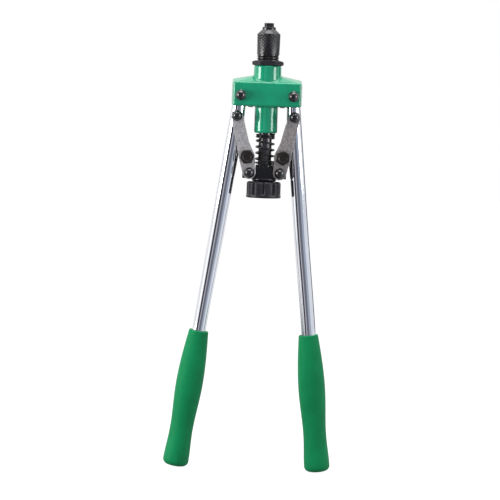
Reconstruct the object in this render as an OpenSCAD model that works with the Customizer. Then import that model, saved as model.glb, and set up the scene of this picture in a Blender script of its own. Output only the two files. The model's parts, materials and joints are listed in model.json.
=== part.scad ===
// Rivet nut tool with two long handles.
// Opening the handles drives the mandrel out of the nose, and closing them pulls it back in
// through a pair of links on each side, a sliding crosshead and a pull tube.
// The origin is on the tool's axis, in the working face of the anvil. +Z points out of the
// nose, +X to the right handle, and the front of the tool faces -Y.

/* [Nose] */
// Diameter of the mandrel's thread
mandrel_d = 10; // [8:0.5:11]
// Length of mandrel that stands out of the anvil with the handles closed
mandrel_reach = 4; // [3:0.1:6]
// Diameter of the anvil's collar
anvil_d = 13.4; // [13:0.1:14]
// Height of the anvil's collar
anvil_h = 1.8; // [1.5:0.1:3]
// Length of the anvil's threaded shank
anvil_shank_h = 8; // [6:0.5:10]
// Height of the sleeve's cone
cone_h = 4.7; // [4:0.1:7]
// Diameter at the top of the sleeve's cone
cone_top_d = 14.4; // [14:0.1:16]
// Diameter of the sleeve's knurled grip
sleeve_d = 22.8; // [22.4:0.1:25]
// Height of the sleeve's knurled grip
sleeve_h = 20.8; // [18:0.2:26]
// Diameter of the sleeve's threaded shank
shank_d = 21.9; // [21.4:0.1:22.3]
// Length of shank that shows between the grip and the lock nut
shank_gap = 5.8; // [4:0.2:8]
// Length of shank that is screwed into the body
shank_grip = 10; // [8:0.5:14]
// Width across the flats of the lock nut
lock_nut_af = 27; // [26:0.5:30]
// Height of the lock nut
lock_nut_h = 5; // [4:0.5:7]

/* [Body casting] */
// Height of the body's upper rim over the handle pivots
barrel_rise = 29.7; // [28:0.1:36]
// Diameter of the upper barrel
upper_barrel_d = 27.4; // [27:0.1:30]
// Diameter of the lower barrel
lower_barrel_d = 23.2; // [21:0.1:26]
// Length of the lower barrel under the handle pivots
lower_barrel_drop = 36.8; // [32:0.1:42]
// Rounding of the lower barrel's rim
lower_barrel_round = 1.8; // [0.5:0.1:3]
// Width of the beam's front face
beam_face_w = 67; // [66:0.5:72]
// Draft of the beam from its faces to its middle
beam_draft = 1.2; // [0.5:0.1:2.5]
// Depth of the beam from front to back
beam_depth = 31; // [29:0.5:34]
// Height of the beam's front face over the handle pivots
beam_top = 13.5; // [13:0.1:15]
// Drop of the beam's front face under the handle pivots
beam_bottom = 10.7; // [9:0.1:11]
// Height of the beam's ridge over its front face at the ends
ridge_end_rise = 1.4; // [1:0.1:3]
// Height of the beam's ridge over its front face at the barrel
ridge_mid_rise = 7.8; // [5:0.1:9]
// Rounding of the beam's edges
beam_round = 2.2; // [1:0.1:3]
// Width of the flare where the upper barrel leaves the beam
barrel_flare = 0.5; // [0.5:0.1:1.6]
// Width of the stop lugs under the handles' roots
stop_w = 3.4; // [2:0.1:3.6]
// Drop of the stop lugs under the beam
stop_drop = 0.8; // [0:0.1:1.5]

/* [Handles] */
// Distance of each handle pivot from the end of the beam's face
pivot_inset = 7.6; // [7:0.1:8.5]
// Angle of each handle to the tool's axis when closed
handle_angle = 7; // [5:0.1:9]
// Sideways lean of both closed handles that the pivots' play allows
handle_lean = 1.2; // [0:0.1:1.5]
// Outside diameter of the handle tubes
tube_d = 14; // [12:0.5:14.5]
// Wall of the handle tubes
tube_wall = 1.5; // [1:0.1:2]
// Length of tube over the handle pivot
tube_top = 8.5; // [7.5:0.1:9]
// Distance from the handle pivot to the link pivot
arm = 20.5; // [20:0.1:23]
// Length of the solid core in each tube under the link pivot
core_tail = 14; // [8:1:30]
// Distance from the handle pivot to the top of the grip
grip_start = 238.4; // [200:0.2:280]

/* [Grips] */
// Length of the grips
grip_len = 138.3; // [130:0.1:150]
// Diameter of the grip's mouth
grip_mouth_d = 19.4; // [18:0.1:22]
// Diameter of the grip's belly
grip_belly_d = 27; // [25:0.1:32]
// Distance from the grip's mouth to its belly
grip_belly_at = 54.5; // [45:0.5:60]
// Diameter of the grip's waist
grip_waist_d = 23.2; // [21:0.1:24.5]
// Distance from the grip's mouth to its waist
grip_waist_at = 101; // [90:1:108]
// Diameter of the grip's end
grip_end_d = 25.8; // [25:0.1:30]
// Rounding of the grip's end
grip_end_round = 5; // [2:0.5:8]
// Thickness of the grip's closed end
grip_end_wall = 7; // [4:0.5:12]

/* [Links] */
// Distance from the link pivot to the crosshead pivot
link_len = 57.4; // [55:0.1:62]
// Distance from the crosshead pivot up to the tie bolt, along the link
tie_drop = 15.8; // [14:0.1:19]
// Place of the tie bolt between the spring and the handle tube, as a share of the room there
tie_share = 0.52; // [0.48:0.01:0.55]
// Thickness of the link plates
link_t = 3; // [2:0.1:4]
// Radius of the link plates' upper ends
link_top_r = 5.7; // [5.4:0.1:6]
// Radius of the link plates' lower ends
link_end_r = 6.5; // [6:0.1:6.6]
// Half width of the link plates where they start to swell
link_shank_r = 6.3; // [5.6:0.1:6.6]
// Length of the swell over the tie bolt
link_swell = 13; // [10:0.5:16]
// Radius of the link plates round the tie bolt
link_tie_r = 8; // [7:0.1:9]
// Diameter of the tie bolts
tie_d = 8; // [6:0.5:8]
// Outside diameter of the tie bolts' spacers
tie_spacer_d = 10.4; // [10:0.1:11]
// Width across the flats of the tie bolts
tie_af = 13; // [12:0.5:14]
// Diameter of the pivot bolts
pivot_d = 6; // [5:0.2:6]
// Width across the flats of the pivot bolts and cap nuts
pivot_af = 10; // [9.6:0.1:11]
// Play of the links on the crosshead's bolts
link_play = 1.42; // [1.4:0.01:1.5]

/* [Pull train] */
// Distance between the crosshead pivots
crosshead_spacing = 30.2; // [29.6:0.2:32]
// Height of the crosshead
crosshead_h = 11.2; // [11:0.1:12.4]
// Length of the crosshead's bar past its pivots
crosshead_end = 6.6; // [6:0.1:7.5]
// Width of the crosshead's hub, between the link plates
hub_w = 14.8; // [14:0.1:15]
// Depth of the crosshead's hub from front to back
hub_depth = 21; // [20.4:0.1:22]
// Outside diameter of the pull tube
pull_d = 13; // [12.5:0.1:13.4]
// Outside diameter of the mandrel holder
holder_d = 16; // [15.6:0.1:16.4]
// Length of the mandrel holder
holder_h = 25; // [23:0.5:26]
// Thickness of the holder's lip over the mandrel's head
holder_lip = 4; // [3:0.1:5]
// Height of the mandrel's head
mandrel_head_h = 8; // [7:0.1:9]
// Diameter of the spindle
spindle_d = 6.8; // [6:0.1:7]
// Outside diameter of the return spring
spring_d = 19.2; // [18.4:0.1:19.6]
// Diameter of the return spring's wire
wire_d = 1.8; // [1.4:0.1:2.2]
// Height of the spring's seat
seat_h = 2.4; // [1.5:0.1:3]
// Diameter of the retainer's flange
retainer_d = 24.8; // [22:0.1:27]
// Height of the retainer under the crosshead
retainer_h = 3; // [2.5:0.1:4]
// Diameter of the knob
knob_d = 34; // [30:0.5:36]
// Height of the knob
knob_h = 16; // [14:0.5:20]
// Number of grooves round the knob
knob_grooves = 10; // [6:1:16]
// Width of the knob's grooves
knob_groove_w = 2.2; // [1.4:0.1:3]
// Height of the plain rim under the knob's grooves
knob_rim_h = 2.5; // [1.5:0.1:4]
// Rounding of the knob's top edge
knob_round = 2; // [1:0.1:3]

/* [Hidden] */
// Radial clearance of fits, and the gap between faces that slide past each other
fit = 0.05;
face_gap = 0.15;
// Room that the handles' roots and the holder's stop keep
swing_gap = 0.4;
stop_gap = 0.3;
// Turned edges and overlaps of cuts
chamfer = 0.8;
cut = 1;
// The mandrel is drawn at its thread's crest outside the anvil and at its root inside
thread_depth = 0.9;
mandrel_neck_d = mandrel_d - 2 * thread_depth;
// The anvil's shank leaves a wall of one millimetre round the mandrel
anvil_wall = 1;
anvil_shank_d = mandrel_d + 2 * anvil_wall;

// Heights along the tool's axis, from the anvil's face down
cone_bottom = -anvil_h - cone_h;
sleeve_bottom = cone_bottom - sleeve_h;
nut_top = sleeve_bottom - shank_gap;
barrel_top = nut_top - lock_nut_h;
shank_bottom = barrel_top - shank_grip;
pivot_z = barrel_top - barrel_rise;
lower_rim = pivot_z - lower_barrel_drop;

// The linkage at rest
pivot_x = beam_face_w / 2 - pivot_inset;
cross_x = crosshead_spacing / 2;
link_reach = pivot_x + arm * sin(handle_angle) - cross_x;
cross_z = pivot_z - arm * cos(handle_angle) - sqrt(link_len ^ 2 - link_reach ^ 2);
function side_angle(side) = handle_angle - side * handle_lean;
function link_pivot(side) =
    [pivot_x + arm * sin(side_angle(side)), pivot_z - arm * cos(side_angle(side))];
function link_angle(side) =
    atan2(link_pivot(side)[0] - cross_x, link_pivot(side)[1] - cross_z);

// The tie bolts stand between the spring and the handle tube; the steeper handle leaves less room
tie_at = link_len - tie_drop;
tie_fall = arm * cos(side_angle(1)) + tie_at * cos(link_angle(1));
tube_in = pivot_x + tie_fall * tan(side_angle(1)) - tube_d / 2 / cos(side_angle(1));
tie_x = spring_d / 2 + tie_share * (tube_in - spring_d / 2);
tie_offset = (link_pivot(1)[0] - tie_at * sin(link_angle(1)) - tie_x) / cos(link_angle(1));

// The stack of plates across the tool, measured from its middle plane
plate_in = tube_d / 2 + face_gap;
plate_out = plate_in + link_t;
nut_seat = plate_out + face_gap;
plate_mid = plate_in + link_t / 2;

// The roots of the handles swing inside the beam
root_r = sqrt(tube_top ^ 2 + (tube_d / 2) ^ 2) + swing_gap;
slot_in = pivot_x - root_r;
stop_h = beam_bottom / 2;

// The pull train inside the nose
holder_bottom = shank_bottom - cut;
holder_top = holder_bottom + holder_h;
head_top = holder_top - holder_lip;
head_bottom = head_top - mandrel_head_h;
head_d = pull_d;
pull_top = head_bottom - stop_gap;
bore_floor = holder_bottom - stop_gap;
socket_af = spindle_d * cos(30) - fit;
socket_h = mandrel_head_h / 2;

// The crosshead, its bearing and the knob
cross_top = cross_z + crosshead_h / 2;
cross_bottom = cross_z - crosshead_h / 2;
bearing_h = 5;
bearing_d = 18;
bearing_web = 2.4;
washer_h = 0.8;
collar_h = 2;
collar_d = 15;
bearing_top = cross_bottom + bearing_h;
collar_top = bearing_top - washer_h - 2 * fit;
retainer_top = collar_top - collar_h - fit;
pull_bottom = bearing_top + bearing_web;
knob_top = cross_bottom - retainer_h - face_gap;
knob_bottom = knob_top - knob_h;
knob_rim_top = knob_bottom + knob_rim_h;
screw_d = 4;
screw_head_d = 9;
screw_room = 1;
screw_head_h = 2.8;
screw_depth = 10;
knob_well_h = 5;
screw_seat = knob_bottom + knob_well_h;
knob_turn = 3;

// The return spring between the lower barrel and the crosshead's seat
seat_top = cross_top + seat_h;
spring_top = lower_rim - fit - wire_d / 2;
spring_bottom = seat_top + fit + wire_d / 2;
spring_r = (spring_d - wire_d) / 2;
closed_top_turns = 2;
closed_end_turns = 1;
open_turns = 4;
closed_pitch = wire_d + fit;
active_pitch = (spring_top - spring_bottom
    - (closed_top_turns + closed_end_turns) * closed_pitch) / open_turns;
spring_turns = closed_top_turns + open_turns + closed_end_turns;

// The tubes end inside the grips
tube_end = grip_start + grip_len - grip_end_wall;
grip_mouth_round = 1;

// Hardware proportions: a hex keeps a round face of this share of its width, and falls away
// outside it by one for every so many
hex_face = 0.47;
hex_fall = 0.12;
hex_slope = 1.5;
bolt_head_h = 4;
cap_hex_h = 4.6;
cap_dome_r = 4.8;
cap_depth = 6;
tie_head_h = 5.3;
tie_nut_h = 6.5;

$fn = 64;

left = -1;
right = 1;

// Helpers that place and shape

// Puts its children in the frame of a handle: origin at the pivot, -Z down the tube
module at_handle(side)
    translate([side * pivot_x, 0, pivot_z])
        rotate([0, -side * side_angle(side), 0])
            children();

// Puts its children in the frame of a link: origin at its upper pivot, -Z down to the crosshead
module at_link(side)
    translate([side * link_pivot(side)[0], 0, link_pivot(side)[1]])
        rotate([0, side * link_angle(side), 0])
            children();

// Puts its children at both crosshead pivots
module at_crosshead_pivots()
    for (side = [left, right])
        translate([side * cross_x, 0, cross_z])
            children();

// Puts its children at both handle pivots
module at_handle_pivots()
    for (side = [left, right])
        translate([side * pivot_x, 0, pivot_z])
            children();

// Puts its children at a link's tie bolt, which sits a little inside the line of its pivots
module at_tie(side)
    at_link(side)
        translate([-side * tie_offset, 0, -tie_at])
            children();

// A cylinder across the tool from one depth to another
module cross_rod(d, from, to)
    translate([0, from, 0])
        rotate([-90, 0, 0])
            cylinder(d = d, h = to - from);

// A hexagon trimmed to a cone on its outer face, or on both, as on a turned hex head
module chamfered_hex(af, h, both = false) {
    face_r = hex_face * af;
    fall = min(hex_fall * af, h / 2);
    out_r = face_r + hex_slope * fall;
    intersection() {
        cylinder(d = af / cos(30), h = h, $fn = 6);
        rotate_extrude()
            polygon(concat(
                [[0, 0]],
                both ? [[face_r, 0], [out_r, fall]] : [[out_r, 0]],
                both && 2 * fall >= h ? [] : [[out_r, h - fall]],
                [[face_r, h], [0, h]]
            ));
    }
}

// A bolt from the back of the tool: its hex head stands behind the seat, its shank runs forward
module pivot_bolt(seat) {
    translate([0, seat, 0])
        rotate([-90, 0, 0])
            chamfered_hex(pivot_af, bolt_head_h);
    cross_rod(pivot_d, -seat - cap_depth + cut, seat + cut);
}

// A domed cap nut on the front of the tool, with its blind hole
module cap_nut(seat)
    translate([0, -seat, 0])
        rotate([90, 0, 0])
            difference() {
                union() {
                    chamfered_hex(pivot_af, cap_hex_h);
                    translate([0, 0, cap_hex_h - 1])
                        sphere(r = cap_dome_r);
                }
                translate([0, 0, -cap_dome_r])
                    cylinder(d = 3 * pivot_af, h = cap_dome_r);
                translate([0, 0, -cut])
                    cylinder(d = pivot_d + 2 * fit, h = cap_depth + cut);
            }

// Points of a quarter round of radius r about c, from angle a by ninety degrees
function quarter(c, r, a, steps = 6) =
    [for (i = [0 : steps]) c + r * [cos(a + 90 * i / steps), sin(a + 90 * i / steps)]];

// Body

// The beam: flat front and back faces that widen to the cheeks of the slots, under a gable
module beam() {
    face_x = beam_face_w / 2 - beam_round;
    face_y = beam_depth / 2 - beam_round;
    top = pivot_z + beam_top - beam_round;
    bottom = pivot_z - beam_bottom + beam_round;
    hull()
        for (x = [-1, 1]) {
            for (y = [-face_y, face_y], z = [top, bottom])
                translate([x * face_x, y, z])
                    sphere(r = beam_round, $fn = 24);
            for (y = [-plate_in, plate_in], z = [top, bottom])
                translate([x * (face_x + beam_draft), y, z])
                    sphere(r = beam_round, $fn = 24);
            translate([x * (face_x + beam_draft), 0, top + ridge_end_rise])
                sphere(r = beam_round, $fn = 24);
            translate([0, 0, top + ridge_mid_rise])
                sphere(r = beam_round, $fn = 24);
        }
}

// The slot in which a handle's root swings, open below and at the beam's end
module handle_slot(side)
    rotate([0, 0, side == right ? 0 : 180])
        translate([slot_in, -plate_in, pivot_z - beam_bottom - cut])
            cube([beam_face_w, 2 * plate_in, beam_bottom + root_r + cut]);

// The lug that stops a handle from closing too far
module stop_lug(side)
    rotate([0, 0, side == right ? 0 : 180])
        translate([slot_in - cut, -plate_in - cut, pivot_z - beam_bottom - stop_drop])
            cube([stop_w + cut, 2 * (plate_in + cut), stop_h + stop_drop]);

module upper_barrel()
    rotate_extrude()
        polygon([
            [0, barrel_top],
            [upper_barrel_d / 2 - chamfer, barrel_top],
            [upper_barrel_d / 2, barrel_top - chamfer],
            [upper_barrel_d / 2, pivot_z + beam_top + ridge_mid_rise],
            [upper_barrel_d / 2 + barrel_flare, pivot_z + beam_top],
            [upper_barrel_d / 2 + barrel_flare, pivot_z],
            [0, pivot_z]
        ]);

module lower_barrel()
    rotate_extrude()
        polygon(concat(
            [[0, pivot_z], [0, lower_rim]],
            quarter([lower_barrel_d / 2 - lower_barrel_round, lower_rim + lower_barrel_round],
                lower_barrel_round, -90),
            [[lower_barrel_d / 2, pivot_z]]
        ));

module body_casting()
    color("seagreen")
        difference() {
            union() {
                difference() {
                    union() {
                        beam();
                        upper_barrel();
                        lower_barrel();
                    }
                    for (side = [left, right])
                        handle_slot(side);
                }
                for (side = [left, right])
                    stop_lug(side);
            }
            translate([0, 0, bore_floor])
                cylinder(d = shank_d + 2 * fit, h = barrel_top - bore_floor + cut);
            translate([0, 0, lower_rim - cut])
                cylinder(d = pull_d + 2 * fit, h = bore_floor - lower_rim + 2 * cut);
            at_handle_pivots()
                cross_rod(pivot_d + 2 * fit, -beam_depth, beam_depth);
        }

module handle_pivot_bolts()
    color("dimgray")
        at_handle_pivots()
            pivot_bolt(beam_depth / 2);

module handle_pivot_cap_nuts()
    color("black")
        at_handle_pivots()
            cap_nut(beam_depth / 2);

// Nose

module lock_nut()
    color("black")
        translate([0, 0, barrel_top])
            difference() {
                chamfered_hex(lock_nut_af, lock_nut_h, both = true);
                translate([0, 0, -cut])
                    cylinder(d = shank_d + 2 * fit, h = lock_nut_h + 2 * cut);
            }

module nose_sleeve()
    color("black")
        difference() {
            rotate_extrude()
                polygon([
                    [0, -anvil_h],
                    [cone_top_d / 2 - chamfer / 2, -anvil_h],
                    [cone_top_d / 2, -anvil_h - chamfer / 2],
                    [sleeve_d / 2 - chamfer / 2, cone_bottom],
                    [sleeve_d / 2, cone_bottom - chamfer / 2],
                    [sleeve_d / 2, sleeve_bottom + chamfer],
                    [shank_d / 2, sleeve_bottom],
                    [shank_d / 2, shank_bottom + chamfer],
                    [shank_d / 2 - chamfer, shank_bottom],
                    [0, shank_bottom]
                ]);
            translate([0, 0, shank_bottom - cut])
                cylinder(d = holder_d + 2 * stop_gap,
                    h = -anvil_h - anvil_shank_h - shank_bottom + cut);
            translate([0, 0, -anvil_h - anvil_shank_h - cut])
                cylinder(d = anvil_shank_d + 2 * fit, h = anvil_shank_h + 2 * cut);
        }

module anvil()
    color("dimgray")
        difference() {
            rotate_extrude()
                polygon([
                    [0, 0],
                    [anvil_d / 2 - chamfer / 2, 0],
                    [anvil_d / 2, -chamfer / 2],
                    [anvil_d / 2, -anvil_h],
                    [anvil_shank_d / 2, -anvil_h],
                    [anvil_shank_d / 2, -anvil_h - anvil_shank_h],
                    [0, -anvil_h - anvil_shank_h]
                ]);
            translate([0, 0, -anvil_h - anvil_shank_h - cut])
                cylinder(d = mandrel_d + 2 * fit, h = anvil_h + anvil_shank_h + 2 * cut);
        }

// The mandrel: a screw whose head sits in the holder, with a hex socket for the spindle
module mandrel()
    color("dimgray")
        difference() {
            rotate_extrude()
                polygon([
                    [0, head_bottom],
                    [head_d / 2, head_bottom],
                    [head_d / 2, head_top],
                    [mandrel_neck_d / 2, head_top],
                    [mandrel_neck_d / 2, 0],
                    [mandrel_d / 2, 0],
                    [mandrel_d / 2, mandrel_reach - chamfer],
                    [mandrel_d / 2 - chamfer, mandrel_reach],
                    [0, mandrel_reach]
                ]);
            translate([0, 0, head_bottom - cut])
                cylinder(d = spindle_d + 2 * fit, h = socket_h + cut, $fn = 6);
        }

// Pull train

module mandrel_holder()
    color("dimgray")
        difference() {
            translate([0, 0, holder_bottom])
                cylinder(d = holder_d, h = holder_h);
            translate([0, 0, holder_bottom - cut])
                cylinder(d = pull_d + 2 * fit, h = head_top - holder_bottom + fit + cut);
            translate([0, 0, head_top - cut])
                cylinder(d = mandrel_d + 2 * fit, h = holder_lip + 2 * cut);
        }

module pull_tube()
    color("black")
        translate([0, 0, pull_bottom])
            difference() {
                cylinder(d = pull_d, h = pull_top - pull_bottom);
                translate([0, 0, -cut])
                    cylinder(d = spindle_d + 2 * fit, h = pull_top - pull_bottom + 2 * cut);
            }

// Height of the spring's wire after a number of turns from the top
function spring_drop(t) =
    closed_pitch * (min(t, closed_top_turns) + max(t - closed_top_turns - open_turns, 0))
    + active_pitch * min(max(t - closed_top_turns, 0), open_turns);

// A round wire swept down a helix with closed ends
module return_spring() {
    steps = 20;
    sides = 8;
    rings = spring_turns * steps;
    points = [
        for (i = [0 : rings], j = [0 : sides - 1])
            let (turn = i / steps, a = 360 * turn, b = 360 * j / sides,
                r = spring_r + wire_d / 2 * cos(b))
            [r * cos(a), r * sin(a), spring_top - spring_drop(turn) + wire_d / 2 * sin(b)]
    ];
    walls = [
        for (i = [0 : rings - 1], j = [0 : sides - 1])
            let (k = (j + 1) % sides)
            [i * sides + j, i * sides + k, (i + 1) * sides + k, (i + 1) * sides + j]
    ];
    first = [for (j = [sides - 1 : -1 : 0]) j];
    last = [for (j = [0 : sides - 1]) rings * sides + j];
    color("black")
        polyhedron(points, concat([first], walls, [last]));
}

module spring_seat()
    color("black")
        translate([0, 0, cross_top])
            difference() {
                cylinder(d = spring_d - wire_d, h = seat_h);
                translate([0, 0, -cut])
                    cylinder(d = pull_d + 2 * fit, h = seat_h + 2 * cut);
            }

// The crosshead: a square bar through a deeper hub that stands between the link plates
module crosshead()
    color("black")
        difference() {
            union() {
                translate([0, 0, cross_z])
                    cube([crosshead_spacing + 2 * crosshead_end, tube_d, crosshead_h],
                        center = true);
                translate([0, 0, cross_z])
                    cube([hub_w, hub_depth, crosshead_h], center = true);
            }
            translate([0, 0, pull_bottom])
                cylinder(d = pull_d + 2 * fit, h = cross_top - pull_bottom + cut);
            translate([0, 0, cross_bottom])
                cylinder(d = spindle_d + 2 * fit, h = crosshead_h);
            translate([0, 0, cross_bottom - cut])
                cylinder(d = bearing_d + 2 * fit, h = bearing_top - cross_bottom + cut);
            at_crosshead_pivots()
                cross_rod(pivot_d + 2 * fit, -tube_d, tube_d);
        }

module crosshead_bolts()
    color("dimgray")
        at_crosshead_pivots()
            pivot_bolt(nut_seat);

module crosshead_cap_nuts()
    color("black")
        at_crosshead_pivots()
            cap_nut(nut_seat);

module thrust_washer()
    color("silver")
        translate([0, 0, bearing_top - fit - washer_h])
            difference() {
                cylinder(d = collar_d, h = washer_h);
                translate([0, 0, -cut])
                    cylinder(d = spindle_d + 2 * fit, h = washer_h + 2 * cut);
            }

// The retainer: screwed into the crosshead from below, it carries the spindle's collar
module bearing_retainer()
    color("black")
        difference() {
            rotate_extrude()
                polygon([
                    [0, retainer_top],
                    [bearing_d / 2, retainer_top],
                    [bearing_d / 2, cross_bottom],
                    [retainer_d / 2, cross_bottom],
                    [retainer_d / 2, cross_bottom - retainer_h / 2],
                    [retainer_d / 2 - retainer_h / 2, cross_bottom - retainer_h],
                    [0, cross_bottom - retainer_h]
                ]);
            translate([0, 0, cross_bottom - retainer_h - cut])
                cylinder(d = spindle_d + 2 * fit, h = crosshead_h + retainer_h);
        }

// The spindle: a round rod with a collar, and a hex tip in the mandrel's socket
module spindle()
    color("gray")
        difference() {
            union() {
                translate([0, 0, screw_seat])
                    cylinder(d = spindle_d, h = pull_top - screw_seat);
                translate([0, 0, collar_top - collar_h])
                    cylinder(d = collar_d, h = collar_h);
                translate([0, 0, pull_top - cut])
                    cylinder(d = socket_af / cos(30), h = socket_h + stop_gap + cut - fit,
                        $fn = 6);
            }
            translate([0, 0, screw_seat - cut])
                cylinder(d = screw_d + 2 * fit, h = screw_depth + cut);
        }

module spin_knob()
    color("black")
        difference() {
            rotate_extrude()
                polygon(concat(
                    [[0, knob_bottom], [0, knob_top - cut]],
                    [[retainer_d / 2, knob_top]],
                    [for (i = [6 : -1 : 0])
                        [knob_d / 2 - knob_round + knob_round * cos(15 * i),
                            knob_top - knob_round + knob_round * sin(15 * i)]],
                    [[knob_d / 2, knob_rim_top + chamfer / 2]],
                    [[knob_d / 2 + chamfer / 2, knob_rim_top]],
                    [[knob_d / 2 + chamfer / 2, knob_bottom]]
                ));
            for (i = [0 : knob_grooves - 1])
                rotate([0, 0, 360 * (i + 0.5) / knob_grooves + knob_turn])
                    translate([knob_d / 2, 0, knob_rim_top + chamfer + knob_h / 2])
                        rotate([0, 0, 45])
                            cube([knob_groove_w, knob_groove_w, knob_h], center = true);
            translate([0, 0, knob_bottom - cut])
                cylinder(d = spindle_d + 2 * fit, h = knob_h + 2 * cut);
            translate([0, 0, knob_bottom - cut])
                cylinder(d = screw_head_d + 2 * screw_room, h = screw_seat - knob_bottom + cut);
        }

module knob_screw()
    color("dimgray") {
        translate([0, 0, screw_seat - screw_head_h])
            difference() {
                cylinder(d = screw_head_d, h = screw_head_h);
                translate([0, 0, -cut])
                    cylinder(d = screw_d, h = screw_head_h / 2 + cut, $fn = 6);
            }
        translate([0, 0, screw_seat - cut])
            cylinder(d = screw_d, h = screw_depth);
    }

// Handles

module handle_tube(side)
    color("silver")
        at_handle(side)
            difference() {
                translate([0, 0, -tube_end])
                    cylinder(d = tube_d, h = tube_end + tube_top);
                translate([0, 0, -tube_end - cut])
                    cylinder(d = tube_d - 2 * tube_wall, h = tube_end + tube_top + 2 * cut);
                for (z = [0, -arm])
                    translate([0, 0, z])
                        cross_rod(pivot_d + 2 * fit, -tube_d, tube_d);
            }

// A solid steel core stiffens the root of the tube where the two bolts cross it
module handle_core(side)
    color("gray")
        at_handle(side)
            difference() {
                translate([0, 0, -arm - core_tail])
                    cylinder(d = tube_d - 2 * tube_wall - 2 * fit,
                        h = arm + core_tail + tube_top - cut);
                for (z = [0, -arm])
                    translate([0, 0, z])
                        cross_rod(pivot_d + 2 * fit, -tube_d, tube_d);
            }

// Diameter of the grip at a distance from its mouth: swells to the belly, falls to the waist
// and flares to the end, each along a sine
function ease(t) = (1 - cos(180 * t)) / 2;
function grip_d(s) =
    s < grip_belly_at
        ? grip_mouth_d + (grip_belly_d - grip_mouth_d) * sin(90 * s / grip_belly_at)
    : s < grip_waist_at
        ? grip_belly_d + (grip_waist_d - grip_belly_d)
            * ease((s - grip_belly_at) / (grip_waist_at - grip_belly_at))
    : grip_waist_d + (grip_end_d - grip_waist_d)
        * ease((s - grip_waist_at) / (grip_len - grip_end_round - grip_waist_at));

module grip(side) {
    steps = 26;
    straight = grip_len - grip_end_round;
    color("mediumseagreen")
        at_handle(side)
            translate([0, 0, -grip_start])
                difference() {
                    rotate_extrude()
                        polygon(concat(
                            [[0, -grip_len]],
                            quarter([grip_end_d / 2 - grip_end_round, -straight],
                                grip_end_round, -90),
                            [for (i = [steps - 1 : -1 : 1])
                                [grip_d(straight * i / steps) / 2, -straight * i / steps]],
                            [[grip_mouth_d / 2, -grip_mouth_round]],
                            [[grip_mouth_d / 2 - grip_mouth_round, 0], [0, 0]]
                        ));
                    translate([0, 0, grip_start - tube_end])
                        cylinder(d = tube_d + 2 * fit, h = tube_end);
                }
}

module link_bolt(side)
    color("dimgray")
        at_handle(side)
            translate([0, 0, -arm])
                pivot_bolt(nut_seat);

module link_cap_nut(side)
    color("black")
        at_handle(side)
            translate([0, 0, -arm])
                cap_nut(nut_seat);

// Links

// A round of a link plate, at a distance down the link and an offset towards the axis
module link_round(side, r, at, offset = 0)
    translate([-side * offset, -at])
        circle(r = r);

// A link plate: a plain shank that swells round the tie bolt and ends round at both pivots
module link_plate(side, depth)
    color("darkgray")
        at_link(side)
            difference() {
                translate([0, depth, 0])
                    rotate([90, 0, 0]) {
                        linear_extrude(link_t, center = true)
                            hull() {
                                link_round(side, link_top_r, 0);
                                link_round(side, link_shank_r, tie_at - link_swell);
                            }
                        linear_extrude(link_t, center = true)
                            hull() {
                                link_round(side, link_shank_r, tie_at - link_swell);
                                link_round(side, link_tie_r, tie_at, tie_offset);
                                link_round(side, link_end_r, link_len);
                            }
                    }
                cross_rod(pivot_d + 2 * fit, -nut_seat, nut_seat);
                translate([-side * tie_offset, 0, -tie_at])
                    cross_rod(tie_d + 2 * fit, -nut_seat, nut_seat);
                translate([0, 0, -link_len])
                    cross_rod(pivot_d + 2 * link_play, -nut_seat, nut_seat);
            }

// The tie bolt: an indented hex head in front, a shank through both plates
module tie_bolt(side)
    color("dimgray")
        at_tie(side) {
            translate([0, -plate_out, 0])
                rotate([90, 0, 0])
                    difference() {
                        chamfered_hex(tie_af, tie_head_h);
                        translate([0, 0, tie_head_h - chamfer / 2])
                            cylinder(d = tie_d, h = chamfer);
                    }
            cross_rod(tie_d, -plate_out - cut, plate_out + tie_nut_h + chamfer);
        }

module tie_spacer(side)
    color("gray")
        at_tie(side)
            difference() {
                cross_rod(tie_spacer_d, -plate_in, plate_in);
                cross_rod(tie_d + 2 * fit, -plate_out, plate_out);
            }

module tie_nut(side)
    color("dimgray")
        at_tie(side)
            translate([0, plate_out, 0])
                rotate([-90, 0, 0])
                    difference() {
                        chamfered_hex(tie_af, tie_nut_h);
                        translate([0, 0, -cut])
                            cylinder(d = tie_d + 2 * fit, h = tie_nut_h + 2 * cut);
                    }

body_casting();
handle_pivot_bolts();
handle_pivot_cap_nuts();
lock_nut();
nose_sleeve();
anvil();
mandrel();
mandrel_holder();
pull_tube();
return_spring();
spring_seat();
crosshead();
crosshead_bolts();
crosshead_cap_nuts();
bearing_retainer();
thrust_washer();
spindle();
spin_knob();
knob_screw();
handle_tube(left);  // left_handle_tube
handle_tube(right);  // right_handle_tube
handle_core(left);  // left_handle_core
handle_core(right);  // right_handle_core
grip(left);  // left_grip
grip(right);  // right_grip
link_bolt(left);  // left_link_bolt
link_bolt(right);  // right_link_bolt
link_cap_nut(left);  // left_link_cap_nut
link_cap_nut(right);  // right_link_cap_nut
link_plate(left, -plate_mid);  // left_front_link
link_plate(left, plate_mid);  // left_rear_link
link_plate(right, -plate_mid);  // right_front_link
link_plate(right, plate_mid);  // right_rear_link
tie_bolt(left);  // left_tie_bolt
tie_bolt(right);  // right_tie_bolt
tie_spacer(left);  // left_tie_spacer
tie_spacer(right);  // right_tie_spacer
tie_nut(left);  // left_tie_nut
tie_nut(right);  // right_tie_nut
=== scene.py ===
"""Looks of a long-handled rivet nut tool, built round its packed construction.

Each sub-assembly is a class that holds its sizes in millimetres and places its pieces from the frame.
Surfaces are numpy grids: profiles turned about an axis, or carried along a path.
"""

from __future__ import annotations

import json
import logging
import math
from dataclasses import dataclass, field, replace
from enum import Enum
from typing import Callable, Optional, Sequence

import bmesh
import bpy
import numpy as np
from mathutils import Matrix, Vector

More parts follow.
